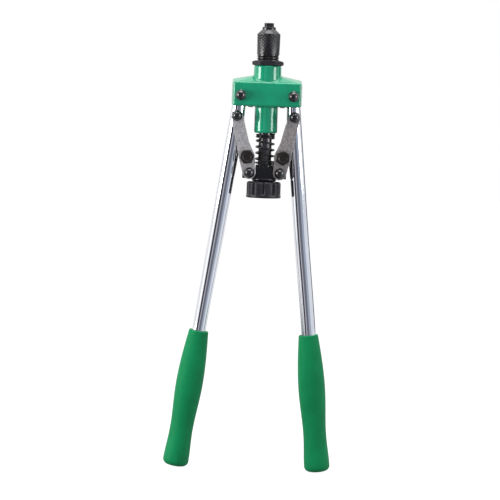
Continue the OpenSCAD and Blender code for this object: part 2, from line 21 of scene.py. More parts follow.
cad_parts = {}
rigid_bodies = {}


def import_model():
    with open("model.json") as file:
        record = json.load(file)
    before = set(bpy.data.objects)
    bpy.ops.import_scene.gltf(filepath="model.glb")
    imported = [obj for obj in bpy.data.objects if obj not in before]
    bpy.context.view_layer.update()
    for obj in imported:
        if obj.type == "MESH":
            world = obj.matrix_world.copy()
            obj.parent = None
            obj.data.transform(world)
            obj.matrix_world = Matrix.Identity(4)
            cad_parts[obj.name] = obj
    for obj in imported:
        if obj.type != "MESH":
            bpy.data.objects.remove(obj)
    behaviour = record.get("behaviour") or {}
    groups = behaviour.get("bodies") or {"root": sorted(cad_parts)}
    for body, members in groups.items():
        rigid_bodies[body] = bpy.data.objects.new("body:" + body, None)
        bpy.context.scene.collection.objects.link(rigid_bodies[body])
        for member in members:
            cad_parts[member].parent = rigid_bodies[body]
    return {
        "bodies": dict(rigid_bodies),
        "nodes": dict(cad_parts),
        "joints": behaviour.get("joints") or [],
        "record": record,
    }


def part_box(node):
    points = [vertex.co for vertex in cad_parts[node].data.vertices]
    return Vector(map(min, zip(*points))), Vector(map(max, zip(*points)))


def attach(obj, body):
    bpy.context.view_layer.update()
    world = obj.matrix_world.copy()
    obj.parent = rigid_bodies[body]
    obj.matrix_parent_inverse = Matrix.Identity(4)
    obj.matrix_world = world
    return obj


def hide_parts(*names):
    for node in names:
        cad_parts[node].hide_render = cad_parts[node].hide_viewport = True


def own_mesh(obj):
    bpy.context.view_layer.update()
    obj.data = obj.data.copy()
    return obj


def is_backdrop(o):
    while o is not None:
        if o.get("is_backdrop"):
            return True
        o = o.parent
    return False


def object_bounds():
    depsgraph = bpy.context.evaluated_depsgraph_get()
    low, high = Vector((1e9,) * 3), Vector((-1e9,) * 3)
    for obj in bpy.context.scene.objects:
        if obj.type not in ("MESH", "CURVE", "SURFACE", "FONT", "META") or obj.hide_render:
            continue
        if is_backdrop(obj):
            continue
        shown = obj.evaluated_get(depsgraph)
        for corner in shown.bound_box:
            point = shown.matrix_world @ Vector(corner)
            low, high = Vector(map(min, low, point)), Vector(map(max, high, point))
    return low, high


MM = 0.001
# Steps round a small turned piece
SMALL_STEPS = 48
# Radial gap in millimetres between pieces that slide or turn in each other
FIT = 0.05
log = logging.getLogger("rivet_nut_tool")

Array = np.ndarray
# A law that changes the radius of a turned surface; it takes arrays of radius, angle and height
RadiusLaw = Callable[[Array, Array, Array], Array]


class Side(Enum):
    """The two sides of the tool, by the sign of X."""

    LEFT = -1
    RIGHT = 1

    @property
    def word(self) -> str:
        """The side's name as it stands in the names of nodes."""
        return self.name.lower()


# Colour and material nodes


def linear(code: str) -> tuple[float, float, float, float]:
    """Turns an sRGB hex colour into a linear one.

    Args:
        code: six hex digits after a hash.

    Returns:
        Linear red, green, blue and an alpha of 1.
    """
    digits = code.lstrip("#")
    srgb = [int(digits[i:i + 2], 16) / 255 for i in (0, 2, 4)]
    rgb = [c / 12.92 if c <= 0.04045 else ((c + 0.055) / 1.055) ** 2.4 for c in srgb]
    return (*rgb, 1.0)


def add_node(tree: bpy.types.NodeTree, kind: str, inputs: dict, **settings: str) -> bpy.types.Node:
    """Adds a shader node, sets its properties and fills its inputs.

    Args:
        tree: the node tree.
        kind: the node's type, such as ShaderNodeTexNoise.
        inputs: input name or index to a constant or to an output socket that feeds it.
        settings: properties of the node.

    Returns:
        The new node.
    """
    node = tree.nodes.new(kind)
    for name, value in settings.items():
        setattr(node, name, value)
    for key, value in inputs.items():
        if isinstance(value, bpy.types.NodeSocket):
            tree.links.new(value, node.inputs[key])
        else:
            node.inputs[key].default_value = value
    return node


def empty_tree(owner: bpy.types.Material | bpy.types.World) -> bpy.types.NodeTree:
    """Clears the nodes of a material or a world.

    Args:
        owner: the material or the world.

    Returns:
        Its empty node tree.
    """
    owner.use_nodes = True
    owner.node_tree.nodes.clear()
    return owner.node_tree


def add_object(name: str, data: bpy.types.ID) -> bpy.types.Object:
    """Adds an object to the scene.

    Args:
        name: its name.
        data: the mesh, light or camera that it carries.

    Returns:
        The new object.
    """
    made = bpy.data.objects.new(name, data)
    bpy.context.scene.collection.objects.link(made)
    return made


def per_metre(size_mm: float) -> float:
    """Scale of a texture whose features are size_mm across, on coordinates in metres."""
    return 1.0 / (size_mm * MM)


@dataclass(frozen=True)
class Finish:
    """A finish made of one principled shader with mottled colour, roughness and relief.

    The colour drifts between two tones over mottle_mm, and a fine grain of grain_mm roughens the
    gloss and raises the surface by relief_mm.
    """

    name: str
    slot: str
    light: str
    dark: str
    metallic: float = 0.0
    rough_low: float = 0.3
    rough_high: float = 0.4
    mottle_mm: float = 8.0
    grain_mm: float = 0.8
    relief_mm: float = 0.0
    coat: float = 0.0
    coat_roughness: float = 0.1
    ior: float = 1.5
    stretch: tuple[float, float, float] = (1.0, 1.0, 1.0)
    specular: float = 0.5
    # Noise keeps mostly between these values, which become the ends of the tones and the roughness
    tone_ends: tuple[float, float] = (0.35, 0.65)
    rough_ends: tuple[float, float] = (0.3, 0.7)

    def build(self) -> bpy.types.Material:
        """Makes the material, or finds it where an earlier piece made it.

        Returns:
            The finished Blender material.
        """
        made = bpy.data.materials.get(self.name)
        if made is not None:
            return made
        material = bpy.data.materials.new(self.name)
        tree = empty_tree(material)
        spot = add_node(tree, "ShaderNodeTexCoord", {}).outputs["Object"]
        scaled = add_node(tree, "ShaderNodeMapping", {"Vector": spot, "Scale": self.stretch})
        mottle, grain = (add_node(tree, "ShaderNodeTexNoise", {
            "Vector": scaled.outputs[0], "Scale": per_metre(size), "Detail": detail,
            "Roughness": rough}) for size, detail, rough in (
                (self.mottle_mm, 4.0, 0.6), (self.grain_mm, 3.0, 0.55)))
        tone = add_node(tree, "ShaderNodeValToRGB", {"Fac": mottle.outputs["Fac"]})
        ramp = zip(tone.color_ramp.elements, self.tone_ends, (self.dark, self.light))
        for stop, place, colour in ramp:
            stop.position = place
            stop.color = linear(colour)
        rough = add_node(tree, "ShaderNodeMapRange", {
            "Value": grain.outputs["Fac"], "From Min": self.rough_ends[0],
            "From Max": self.rough_ends[1], "To Min": self.rough_low, "To Max": self.rough_high})
        inputs = {
            "Base Color": tone.outputs["Color"], "Roughness": rough.outputs[0],
            "Metallic": self.metallic, "IOR": self.ior, "Coat Weight": self.coat,
            "Coat Roughness": self.coat_roughness, "Specular IOR Level": self.specular}
        if self.relief_mm > 0:
            bump = add_node(tree, "ShaderNodeBump", {
                "Height": grain.outputs["Fac"], "Distance": self.relief_mm * MM, "Strength": 1.0})
            inputs["Normal"] = bump.outputs[0]
        shader = add_node(tree, "ShaderNodeBsdfPrincipled", inputs)
        add_node(tree, "ShaderNodeOutputMaterial", {"Surface": shader.outputs[0]})
        return material


# Stoved enamel over a die casting: an even, glossy coat with a faint drift of tone.
ENAMEL = Finish("stoved_enamel_green", "green_enamel", "#189A72", "#159069", rough_low=0.1,
                rough_high=0.15, mottle_mm=14, grain_mm=2.2, relief_mm=0.01, coat=0.4,
                coat_roughness=0.04, specular=0.4)
# Dipped vinyl: a soft satin skin with a hint of orange peel.
VINYL = Finish("dipped_vinyl_green", "green_vinyl", "#0A834F", "#087948", rough_low=0.5,
               rough_high=0.6, mottle_mm=18, grain_mm=1.6, relief_mm=0.02, specular=0.25)
# Bright chrome plate on drawn tube: near mirror, with hair-fine lines along the tube.
CHROME = Finish("bright_chrome_plate", "chrome_tube", "#E6E7EB", "#D9DBE1", metallic=1.0,
                rough_low=0.05, rough_high=0.11, mottle_mm=6, grain_mm=0.7,
                stretch=(1.0, 1.0, 0.05))
# Zinc plate on pressed steel: dull grey with cloudy spangle and pits from tumbling.
ZINC = Finish("zinc_plated_steel", "zinc_plate", "#ECE8E7", "#BCB8B7", metallic=0.7,
              rough_low=0.42, rough_high=0.58, mottle_mm=1.8, grain_mm=0.9, relief_mm=0.06)
# The same plate on the right-hand links, darker and warmer: painted shade for the weaker light on that
# side.
SHADED_ZINC = replace(ZINC, name="dull_zinc_plate", light="#C9C2BF", dark="#9D9694")
# Oiled black oxide: a near-black steel with a sharp oily gloss.
BLACK = Finish("oiled_black_oxide", "black_oxide", "#1C1B1E", "#141316", metallic=0.35,
               rough_low=0.2, rough_high=0.3, mottle_mm=3, grain_mm=0.6, relief_mm=0.01,
               specular=0.9)
# Dry black oxide on the lock nut: the same coat before oiling, dull and even.
DRY_BLACK = Finish("dry_black_oxide", "black_oxide", "#2E2B30", "#242126", rough_low=0.5,
                   rough_high=0.62, mottle_mm=3, grain_mm=0.6, relief_mm=0.02, specular=0.3)
# Polished black cap nuts: the same oxide, buffed bright.
BUFFED = Finish("buffed_black_oxide", "black_oxide", "#100F12", "#0A090B", metallic=0.2,
                rough_low=0.1, rough_high=0.16, mottle_mm=2, grain_mm=0.5, coat=1.0,
                coat_roughness=0.04)
# Burnished dark steel of the pull tube: sliding has rubbed the oxide to a soft metal sheen.
BURNISHED = Finish("burnished_dark_steel", "black_oxide", "#6C686A", "#5C585A", metallic=1.0,
                   rough_low=0.24, rough_high=0.32, mottle_mm=2, grain_mm=0.5)
# Brown-black bolt heads: thicker oxide, drier and warmer.
BROWNED = Finish("browned_black_oxide", "black_oxide", "#302A27", "#241F1D", metallic=0.4,
                 rough_low=0.26, rough_high=0.36, mottle_mm=2.5, grain_mm=0.5, relief_mm=0.01,
                 specular=0.7)
# Moulded plastic of the knob: charcoal, with a satin skin that softens the lights.
PLASTIC = Finish("satin_moulded_plastic", "knob_plastic", "#28262B", "#201E22", rough_low=0.28,
                 rough_high=0.36, mottle_mm=6, grain_mm=0.5, relief_mm=0.02, specular=0.45)
# Turned steel, bare and lightly oiled: mid grey with a soft metal shine.
STEEL = Finish("turned_bare_steel", "bare_steel", "#A6A6A6", "#8E8E90", metallic=1.0,
               rough_low=0.25, rough_high=0.4, mottle_mm=4, grain_mm=0.5)


# Surfaces


@dataclass
class Surface:
    """A mesh in the making: points in millimetres, with quads and triangles between them."""

    points: Array
    quads: Array = field(default_factory=lambda: np.zeros((0, 4), int))
    triangles: Array = field(default_factory=lambda: np.zeros((0, 3), int))

    def moved(self, turn: Array, shift: Sequence[float]) -> "Surface":
        """The surface turned by a 3 by 3 matrix and then shifted."""
        return Surface(self.points @ np.asarray(turn).T + np.asarray(shift), self.quads,
                       self.triangles)

    @staticmethod
    def joined(parts: Sequence["Surface"]) -> "Surface":
        """Several surfaces as one, each with its own points.

        Args:
            parts: the surfaces to join.

        Returns:
            One surface that holds them all.
        """
        starts = np.cumsum([0] + [len(p.points) for p in parts])
        return Surface(
            np.concatenate([p.points for p in parts]),
            np.concatenate([p.quads + s for p, s in zip(parts, starts)]),
            np.concatenate([p.triangles + s for p, s in zip(parts, starts)]))

    def mesh(self, name: str, sharp_deg: float) -> bpy.types.Mesh:
        """Writes the surface into a Blender mesh in metres.

        Args:
            name: the mesh's name.
            sharp_deg: edges that bend by more than this stay sharp.

        Returns:
            The mesh, smooth-shaded.
        """
        mesh = bpy.data.meshes.new(name)
        corners = np.concatenate([self.quads.ravel(), self.triangles.ravel()]).astype(np.int32)
        totals = np.concatenate([np.full(len(self.quads), 4), np.full(len(self.triangles), 3)])
        starts = np.concatenate([[0], np.cumsum(totals)[:-1]])
        mesh.vertices.add(len(self.points))
        mesh.vertices.foreach_set("co", (self.points * MM).astype(np.float32).ravel())
        mesh.loops.add(len(corners))
        mesh.loops.foreach_set("vertex_index", corners)
        mesh.polygons.add(len(totals))
        mesh.polygons.foreach_set("loop_start", starts.astype(np.int32))
        mesh.update(calc_edges=True)
        mesh.validate()
        mesh.shade_smooth()
        mesh.set_sharp_from_angle(angle=math.radians(sharp_deg))
        return mesh


def grid(points: Array, wrap_u: bool, wrap_v: bool) -> Surface:
    """A surface through a grid of points; quads join each point to its next in u and in v.

    Args:
        points: the points, as an array of u by v by 3. The outside lies on the side of du x dv.
        wrap_u: whether the last row joins the first.
        wrap_v: whether the last column joins the first.

    Returns:
        The surface.
    """
    nu, nv = points.shape[:2]
    u = np.arange(nu if wrap_u else nu - 1)[:, None]
    v = np.arange(nv if wrap_v else nv - 1)[None, :]
    u2 = (u + 1) % nu
    v2 = (v + 1) % nv
    quads = np.stack([u * nv + v, u2 * nv + v, u2 * nv + v2, u * nv + v2], axis=-1)
    return Surface(points.reshape(-1, 3), quads.reshape(-1, 4))


def capped(sides: Surface, rings: int, bottom: Sequence[float], top: Sequence[float]) -> Surface:
    """Closes both ends of a grid that wraps in u, each with a fan of triangles to one point.

    Args:
        sides: the grid's surface.
        rings: points along v.
        bottom: the point that closes the start of v.
        top: the point that closes its end.

    Returns:
        The closed surface.
    """
    first = np.arange(0, len(sides.points), rings)
    after = np.roll(first, -1)
    pole = np.full(len(first), len(sides.points))
    low = np.stack([after, first, pole], axis=-1)
    high = np.stack([first + rings - 1, after + rings - 1, pole + 1], axis=-1)
    return Surface(np.concatenate([sides.points, [bottom, top]]), sides.quads,
                   np.concatenate([low, high]))


def turned(profile: Array, segments: int = 64, closed: bool = False,
           radius: Optional[RadiusLaw] = None) -> Surface:
    """A profile turned about Z: x = r cos a, y = r sin a, z = h.

    Args:
        profile: rows of radius and height. An open profile runs from its bottom pole up its outside
            to its top pole, and a closed one goes round anticlockwise.
        segments: steps round the axis.
        closed: whether the profile is a ring that joins its own start.
        radius: a law that changes the radius.

    Returns:
        The turned surface, with an open profile's ends closed by fans.
    """
    angle = np.arange(segments)[:, None] * (2 * np.pi / segments)
    r, h = (np.broadcast_to(column, (segments, len(profile))) for column in profile.T)
    if radius is not None:
        r = radius(r, np.broadcast_to(angle, r.shape), h)
    points = np.stack([r * np.cos(angle), r * np.sin(angle), h], axis=-1)
    surface = grid(points, True, closed)
    if closed:
        return surface
    return capped(surface, len(profile), (0, 0, profile[0, 1]), (0, 0, profile[-1, 1]))


def rounded(corners: Sequence[tuple[float, float, float]], closed: bool = False,
            steps: int = 4) -> Array:
    """A profile with rounded corners: each corner becomes an arc tangent to its two sides.

    Args:
        corners: rows of x, y and the corner's radius, where 0 keeps the corner.
        closed: whether the last corner joins the first.
        steps: steps along each arc.

    Returns:
        The profile's points, as rows of x and y.
    """
    table = np.array(corners, float)
    spots = table[:, :2]
    # An arc takes less than half of a side, so that it leaves room for the next one
    side_share = 0.49
    out: list[Array] = []
    for i, (spot, r) in enumerate(zip(spots, table[:, 2])):
        ends = not closed and i in (0, len(spots) - 1)
        if r <= 0 or ends:
            out.append(spot[None])
            continue
        back = spots[i - 1] - spot
        ahead = spots[(i + 1) % len(spots)] - spot
        back_len, ahead_len = np.linalg.norm(back), np.linalg.norm(ahead)
        back, ahead = back / back_len, ahead / ahead_len
        half = math.acos(np.clip(back @ ahead, -1, 1)) / 2
        reach = min(r / math.tan(half), side_share * min(back_len, ahead_len))
        r = reach * math.tan(half)
        middle = (back + ahead) / np.linalg.norm(back + ahead)
        centre = spot + middle * (r / math.sin(half))
        start, stop = spot + back * reach - centre, spot + ahead * reach - centre
        sweep = math.atan2(start[0] * stop[1] - start[1] * stop[0], start @ stop)
        t = np.linspace(0, sweep, steps + 1)[:, None]
        side = np.array([-start[1], start[0]])
        out.append(centre + np.cos(t) * start + np.sin(t) * side)
    return np.concatenate(out)


def turned_ring(corners: Sequence[tuple[float, float, float]], segments: int = 64) -> Surface:
    """A ring with rounded corners, turned about Z; the corners are as in rounded()."""
    return turned(rounded(corners, closed=True), segments, closed=True)


def hexagon(af: float) -> RadiusLaw:
    """A radius law that trims a turned profile to a hexagon.

    Args:
        af: width across the flats.

    Returns:
        The radius law.
    """

    def law(r: Array, angle: Array, height: Array) -> Array:
        """The smaller of the turned radius and the distance to the nearest flat."""
        off = (angle + np.pi / 6) % (np.pi / 3) - np.pi / 6
        return np.minimum(r, af / 2 / np.cos(off))
    return law


def corner_radius(af: float) -> float:
    """The radius over the corners of a hexagon of that width across the flats."""
    return af / math.cos(math.pi / 6) / 2


def stretched(profile: Array, most: float, closed: bool = False) -> Array:
    """A profile with extra points, so that no step is longer than most millimetres.

    Args:
        profile: rows of radius and height.
        most: the longest step.
        closed: whether the last point joins the first.

    Returns:
        The longer profile.
    """
    if closed:
        return stretched(np.concatenate([profile, profile[:1]]), most)[:-1]
    out = [profile[:1]]
    for a, b in zip(profile[:-1], profile[1:]):
        count = max(1, math.ceil(np.linalg.norm(b - a) / most))
        out.append(a + (b - a) * (np.arange(1, count + 1) / count)[:, None])
    return np.concatenate(out)


def eased(s: Array, start: float, stop: float) -> Array:
    """A rise from 0 at start to 1 at stop along half a cosine."""
    return (1 - np.cos(np.pi * np.clip((s - start) / (stop - start), 0, 1))) / 2


# Turns from local Z to an axis of the tool
UPRIGHT = np.eye(3)
FORWARD = np.array([[1.0, 0, 0], [0, 0, -1.0], [0, 1.0, 0]])
BACKWARD = np.array([[1.0, 0, 0], [0, 0, 1.0], [0, -1.0, 0]])


def twisted(angle_deg: float) -> Array:
    """The turn about local Z by that many degrees."""
    a = math.radians(angle_deg)
    return np.array([[math.cos(a), -math.sin(a), 0], [math.sin(a), math.cos(a), 0], [0, 0, 1.0]])


def leaning(angle_deg: float) -> Array:
    """The turn about Y that swings -Z towards -X by that many degrees."""
    a = math.radians(angle_deg)
    return np.array([[math.cos(a), 0, math.sin(a)], [0, 1, 0], [-math.sin(a), 0, math.cos(a)]])


@dataclass
class Tool:
    """The frame that the pieces are built round, and the way they join it."""

    frame: dict
    made: list[str] = field(default_factory=list)
    merge_m: float = 1e-6
    flat_deg: float = 0.5
    smooth_deg: float = 25.0
    bevel_deg: float = 35.0
    bevel_steps: int = 3

    def low(self, node: str) -> Array:
        """The lowest corner of a CAD node, in millimetres."""
        return np.array(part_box(node)[0]) / MM

    def high(self, node: str) -> Array:
        """The highest corner of a CAD node, in millimetres."""
        return np.array(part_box(node)[1]) / MM

    def span(self, node: str) -> tuple[float, float]:
        """The lowest and the highest Z of a CAD node, in millimetres."""
        return self.low(node)[2], self.high(node)[2]

    def radius(self, node: str) -> float:
        """Half the width of a CAD node, in millimetres."""
        return (self.high(node)[0] - self.low(node)[0]) / 2

    def joint(self, name: str) -> dict:
        """The frame's row of a joint."""
        return next(row for row in self.frame["joints"] if row["name"] == name)

    def pivot(self, name: str) -> Array:
        """The place of a joint, in millimetres."""
        return np.array(self.joint(name)["pos_m"]) / MM

    def body(self, node: str) -> str:
        """The body that carries a CAD node."""
        bodies = self.frame["record"]["behaviour"]["bodies"]
        return next(b for b, nodes in bodies.items() if node in nodes)

    def dress(self, mesh: bpy.types.Mesh, name: str, finish: Finish, *nodes: str) -> bpy.types.Object:
        """Makes a piece that stands for CAD nodes and rides on their body.

        Args:
            mesh: the piece's mesh, in metres in the tool's frame.
            name: the piece's name.
            finish: its finish.
            nodes: the CAD nodes that it stands for.

        Returns:
            The new object.
        """
        mesh.materials.clear()
        mesh.materials.append(finish.build())
        piece = add_object(name, mesh)
        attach(piece, self.body(nodes[0]))
        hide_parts(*nodes)
        self.made.append(name)
        log.info("%s: %d faces on %s", name, len(mesh.polygons), self.body(nodes[0]))
        return piece

    def surface(self, surface: Surface, name: str, finish: Finish, *nodes: str,
                sharp_deg: float = 35) -> bpy.types.Object:
        """Dresses a surface that was worked out in millimetres."""
        return self.dress(surface.mesh(name, sharp_deg), name, finish, *nodes)

    def copy(self, node: str) -> bpy.types.Mesh:
        """A merged copy of a CAD node's mesh, with its flat faces whole.

        Args:
            node: the CAD node.

        Returns:
            The new mesh.
        """
        mesh = self.frame["nodes"][node].data.copy()
        work = bmesh.new()
        work.from_mesh(mesh)
        bmesh.ops.remove_doubles(work, verts=work.verts, dist=self.merge_m)
        bmesh.ops.dissolve_limit(work, angle_limit=math.radians(self.flat_deg),
                                 verts=work.verts, edges=work.edges)
        work.to_mesh(mesh)
        work.free()
        return mesh

    def bevelled(self, node: str, name: str, finish: Finish, width_mm: float) -> None:
        """Dresses a copy of a CAD node with rounded edges.

        Args:
            node: the CAD node.
            name: the piece's name.
            finish: its finish.
            width_mm: how far the rounding reaches from each edge.
        """
        mesh = self.copy(node)
        mesh.shade_smooth()
        mesh.set_sharp_from_angle(angle=math.radians(self.smooth_deg))
        piece = self.dress(mesh, name, finish, node)
        bevel = piece.modifiers.new("worn_edges", "BEVEL")
        bevel.width = width_mm * MM
        bevel.segments = self.bevel_steps
        bevel.limit_method = "ANGLE"
        bevel.angle_limit = math.radians(self.bevel_deg)
        bevel.harden_normals = True


@dataclass
class SubAssembly:
    """A group of pieces that is built on the tool's frame."""

    tool: Tool


@dataclass
class Casting(SubAssembly):
    """The green body: a copy of its solid, remeshed and smoothed so that its edges and corners run
    into each other as in a casting, with painted shade on its stop lugs: they take the dark finish."""

    voxel_mm: float = 0.45
    smoothing: int = 5
    beam_top: float = -54.3
    beam_bottom: float = -78.5
    half_depth: float = 15.5
    ridge_rise: float = 7.8
    ridge_lift: float = 1.5
    lug_x: float = 13.0
    slack: float = 0.1

    def lift(self, mesh: bpy.types.Mesh) -> None:
        """Raises the beam's ridge by what the smoothing takes from it.

        Args:
            mesh: the casting's mesh, still with sharp edges.
        """
        points = np.empty(3 * len(mesh.vertices))
        mesh.vertices.foreach_get("co", points)
        points = points.reshape(-1, 3)
        _, y, z = points.T / MM
        rise = z - self.beam_top
        roof = (rise > self.slack / 2) & (rise < self.ridge_rise + self.slack)
        points[roof, 2] += self.ridge_lift * MM * (1 - np.abs(y[roof]) / self.half_depth)
        mesh.vertices.foreach_set("co", points.ravel())

    def blacken(self, mesh: bpy.types.Mesh) -> None:
        """Paints shade on the lugs under the beam: they take the dark browned finish in place of their
        shadow.

        Args:
            mesh: the casting's mesh, with the enamel in its first slot.
        """
        mesh.materials.append(BROWNED.build())
        centres = np.empty(3 * len(mesh.polygons))
        mesh.polygons.foreach_get("center", centres)
        x, _, z = centres.reshape(-1, 3).T / MM
        # painted shade: faces below the beam, out by the lugs, take the dark finish in place of their
        # shadow
        shaded_lugs = (z < self.beam_bottom - self.slack) & (np.abs(x) > self.lug_x)
        mesh.polygons.foreach_set("material_index", shaded_lugs.astype(np.int32))

    def build(self) -> None:
        """Makes the casting."""
        blank = self.tool.copy("body_casting")
        self.lift(blank)
        rough = add_object("casting_blank", blank)
        remesh = rough.modifiers.new("skin", "REMESH")
        remesh.mode = "VOXEL"
        remesh.voxel_size = self.voxel_mm * MM
        smooth = rough.modifiers.new("soften", "SMOOTH")
        smooth.iterations = self.smoothing
        graph = bpy.context.evaluated_depsgraph_get()
        mesh = bpy.data.meshes.new_from_object(rough.evaluated_get(graph))
        bpy.data.objects.remove(rough)
        mesh.shade_smooth()
        self.tool.dress(mesh, "casting", ENAMEL, "body_casting")
        self.blacken(mesh)


@dataclass
class Hardware:
    """Nuts and bolts. Each is built with its seat at height 0 and its outside up local Z."""

    cap_af: float = 10.0
    cap_hex_h: float = 4.4
    cap_corner_r: float = 5.3
    cap_foot_r: float = 4.7
    cap_shoulder_r: float = 4.85
    cap_dome_r: float = 4.85
    cap_dome_z: float = 3.3
    cap_bolt_d: float = 6.0
    # Distance of the cap nuts on the link plates from the tool's middle plane
    cap_seat: float = 10.3
    # How far a bolt reaches into its cap nut, and how far a shank runs on into its head
    cap_reach: float = 5.0
    head_overlap: float = 1.0
    head_h: float = 4.0
    tie_af: float = 13.0
    tie_head_h: float = 5.3
    tie_recess_d: float = 8.0
    tie_nut_h: float = 6.5
    tie_d: float = 8.0
    tie_pitch: float = 1.25
    # Radii of a hexagon's end faces and the fall of its chamfer, as shares of its width
    face_share: float = 0.475
    foot_share: float = 0.48
    head_fall: float = 0.09
    recess_depth: float = 0.55
    step_mm: float = 0.45
    sides: int = 72

    def cap_nut(self) -> Surface:
        """A domed cap nut: a chamfered hexagon under a dome.

        Returns:
            The nut's surface.
        """
        start = math.asin((self.cap_hex_h + 0.25 - self.cap_dome_z) / self.cap_dome_r)
        arc = np.linspace(start, math.pi / 2 - 0.06, 14)
        dome = np.stack([self.cap_dome_r * np.cos(arc),
                         self.cap_dome_z + self.cap_dome_r * np.sin(arc)], axis=-1)
        flats = rounded([(self.cap_foot_r, 0, 0), (self.cap_corner_r, 0.4, 0.1),
                         (self.cap_corner_r, self.cap_hex_h - 0.5, 0.1),
                         (self.cap_shoulder_r, self.cap_hex_h, 0.1),
                         (dome[0, 0] - 0.05, self.cap_hex_h + 0.1, 0)])
        profile = stretched(np.concatenate([flats, dome]), 0.5)
        return turned(profile, self.sides, radius=hexagon(self.cap_af))

    def hex_head(self, af: float, h: float, recess_d: float = 0.0) -> Surface:
        """A hex bolt head with a chamfered top, and a shallow round recess where one is asked for.

        Args:
            af: width across the flats.
            h: height.
            recess_d: diameter of the recess.

        Returns:
            The head's surface.
        """
        corner = corner_radius(af)
        outline = [(af * self.foot_share, 0, 0), (corner, 0.3, 0.1),
                   (corner, h - self.head_fall * af, 0.15), (af * self.face_share, h, 0.3)]
        floor = h
        if recess_d > 0:
            floor -= self.recess_depth
            outline += [(recess_d / 2 + 0.6, h, 0.1), (recess_d / 2 - 0.5, floor, 0.15)]
        outline.append((0.4, floor, 0))
        return turned(stretched(rounded(outline), self.step_mm), self.sides, radius=hexagon(af))

    def shank(self, d: float, bottom: float, top: float, pitch: float = 0.0) -> Surface:
        """A bolt's shank with chamfered ends, and a thread where a pitch is given.

        Args:
            d: diameter.
            bottom: height of its lower end.
            top: height of its upper end.
            pitch: pitch of the thread.

        Returns:
            The shank's surface.
        """
        chamfer = 0.08 * d
        profile = np.array([(d / 2 - chamfer, bottom), (d / 2, bottom + chamfer),
                            (d / 2, top - chamfer), (d / 2 - chamfer, top)])
        if pitch <= 0:
            return turned(profile, SMALL_STEPS)
        return turned(stretched(profile, pitch / 8), SMALL_STEPS, radius=thread(d, pitch))

    def hex_nut(self, af: float, h: float, bore_d: float, fall: float = 0.075) -> Surface:
        """A plain hex nut with chamfered faces and its bore.

        Args:
            af: width across the flats.
            h: height.
            bore_d: diameter of the bore.
            fall: fall of the chamfer at the corners, as a share of the width.

        Returns:
            The nut's surface.
        """
        corner, face, bore, drop = corner_radius(af), af * self.face_share, bore_d / 2, fall * af
        ring = rounded([(bore, 0.4, 0), (bore + 0.4, 0, 0), (face, 0, 0.2), (corner, drop, 0.1),
                        (corner, h - drop, 0.1), (face, h, 0.2), (bore + 0.4, h, 0),
                        (bore, h - 0.4, 0)], closed=True)
        loop = stretched(ring, self.step_mm, closed=True)
        return turned(loop, self.sides, closed=True, radius=hexagon(af))


def thread(d: float, pitch: float) -> RadiusLaw:
    """A radius law for a screw thread: flanks with a flat crest and root that climb one pitch each turn.

    Args:
        d: the diameter that carries the thread.
        pitch: its pitch.

    Returns:
        The radius law.
    """
    depth = 0.45 * pitch
    slope, crest = 1.7, 0.6

    def law(r: Array, angle: Array, height: Array) -> Array:
        """The radius less the depth of the thread's groove.

        Args:
            r: the turned radius.
            angle: the angle round the axis.
            height: the height along it.

        Returns:
            The new radius.
        """
        phase = (height / pitch - angle / (2 * np.pi)) % 1.0
        wave = np.clip(np.abs(2 * phase - 1) * slope - crest, 0, 1)
        return r - depth * wave * (r > d / 2 - 0.02)
    return law


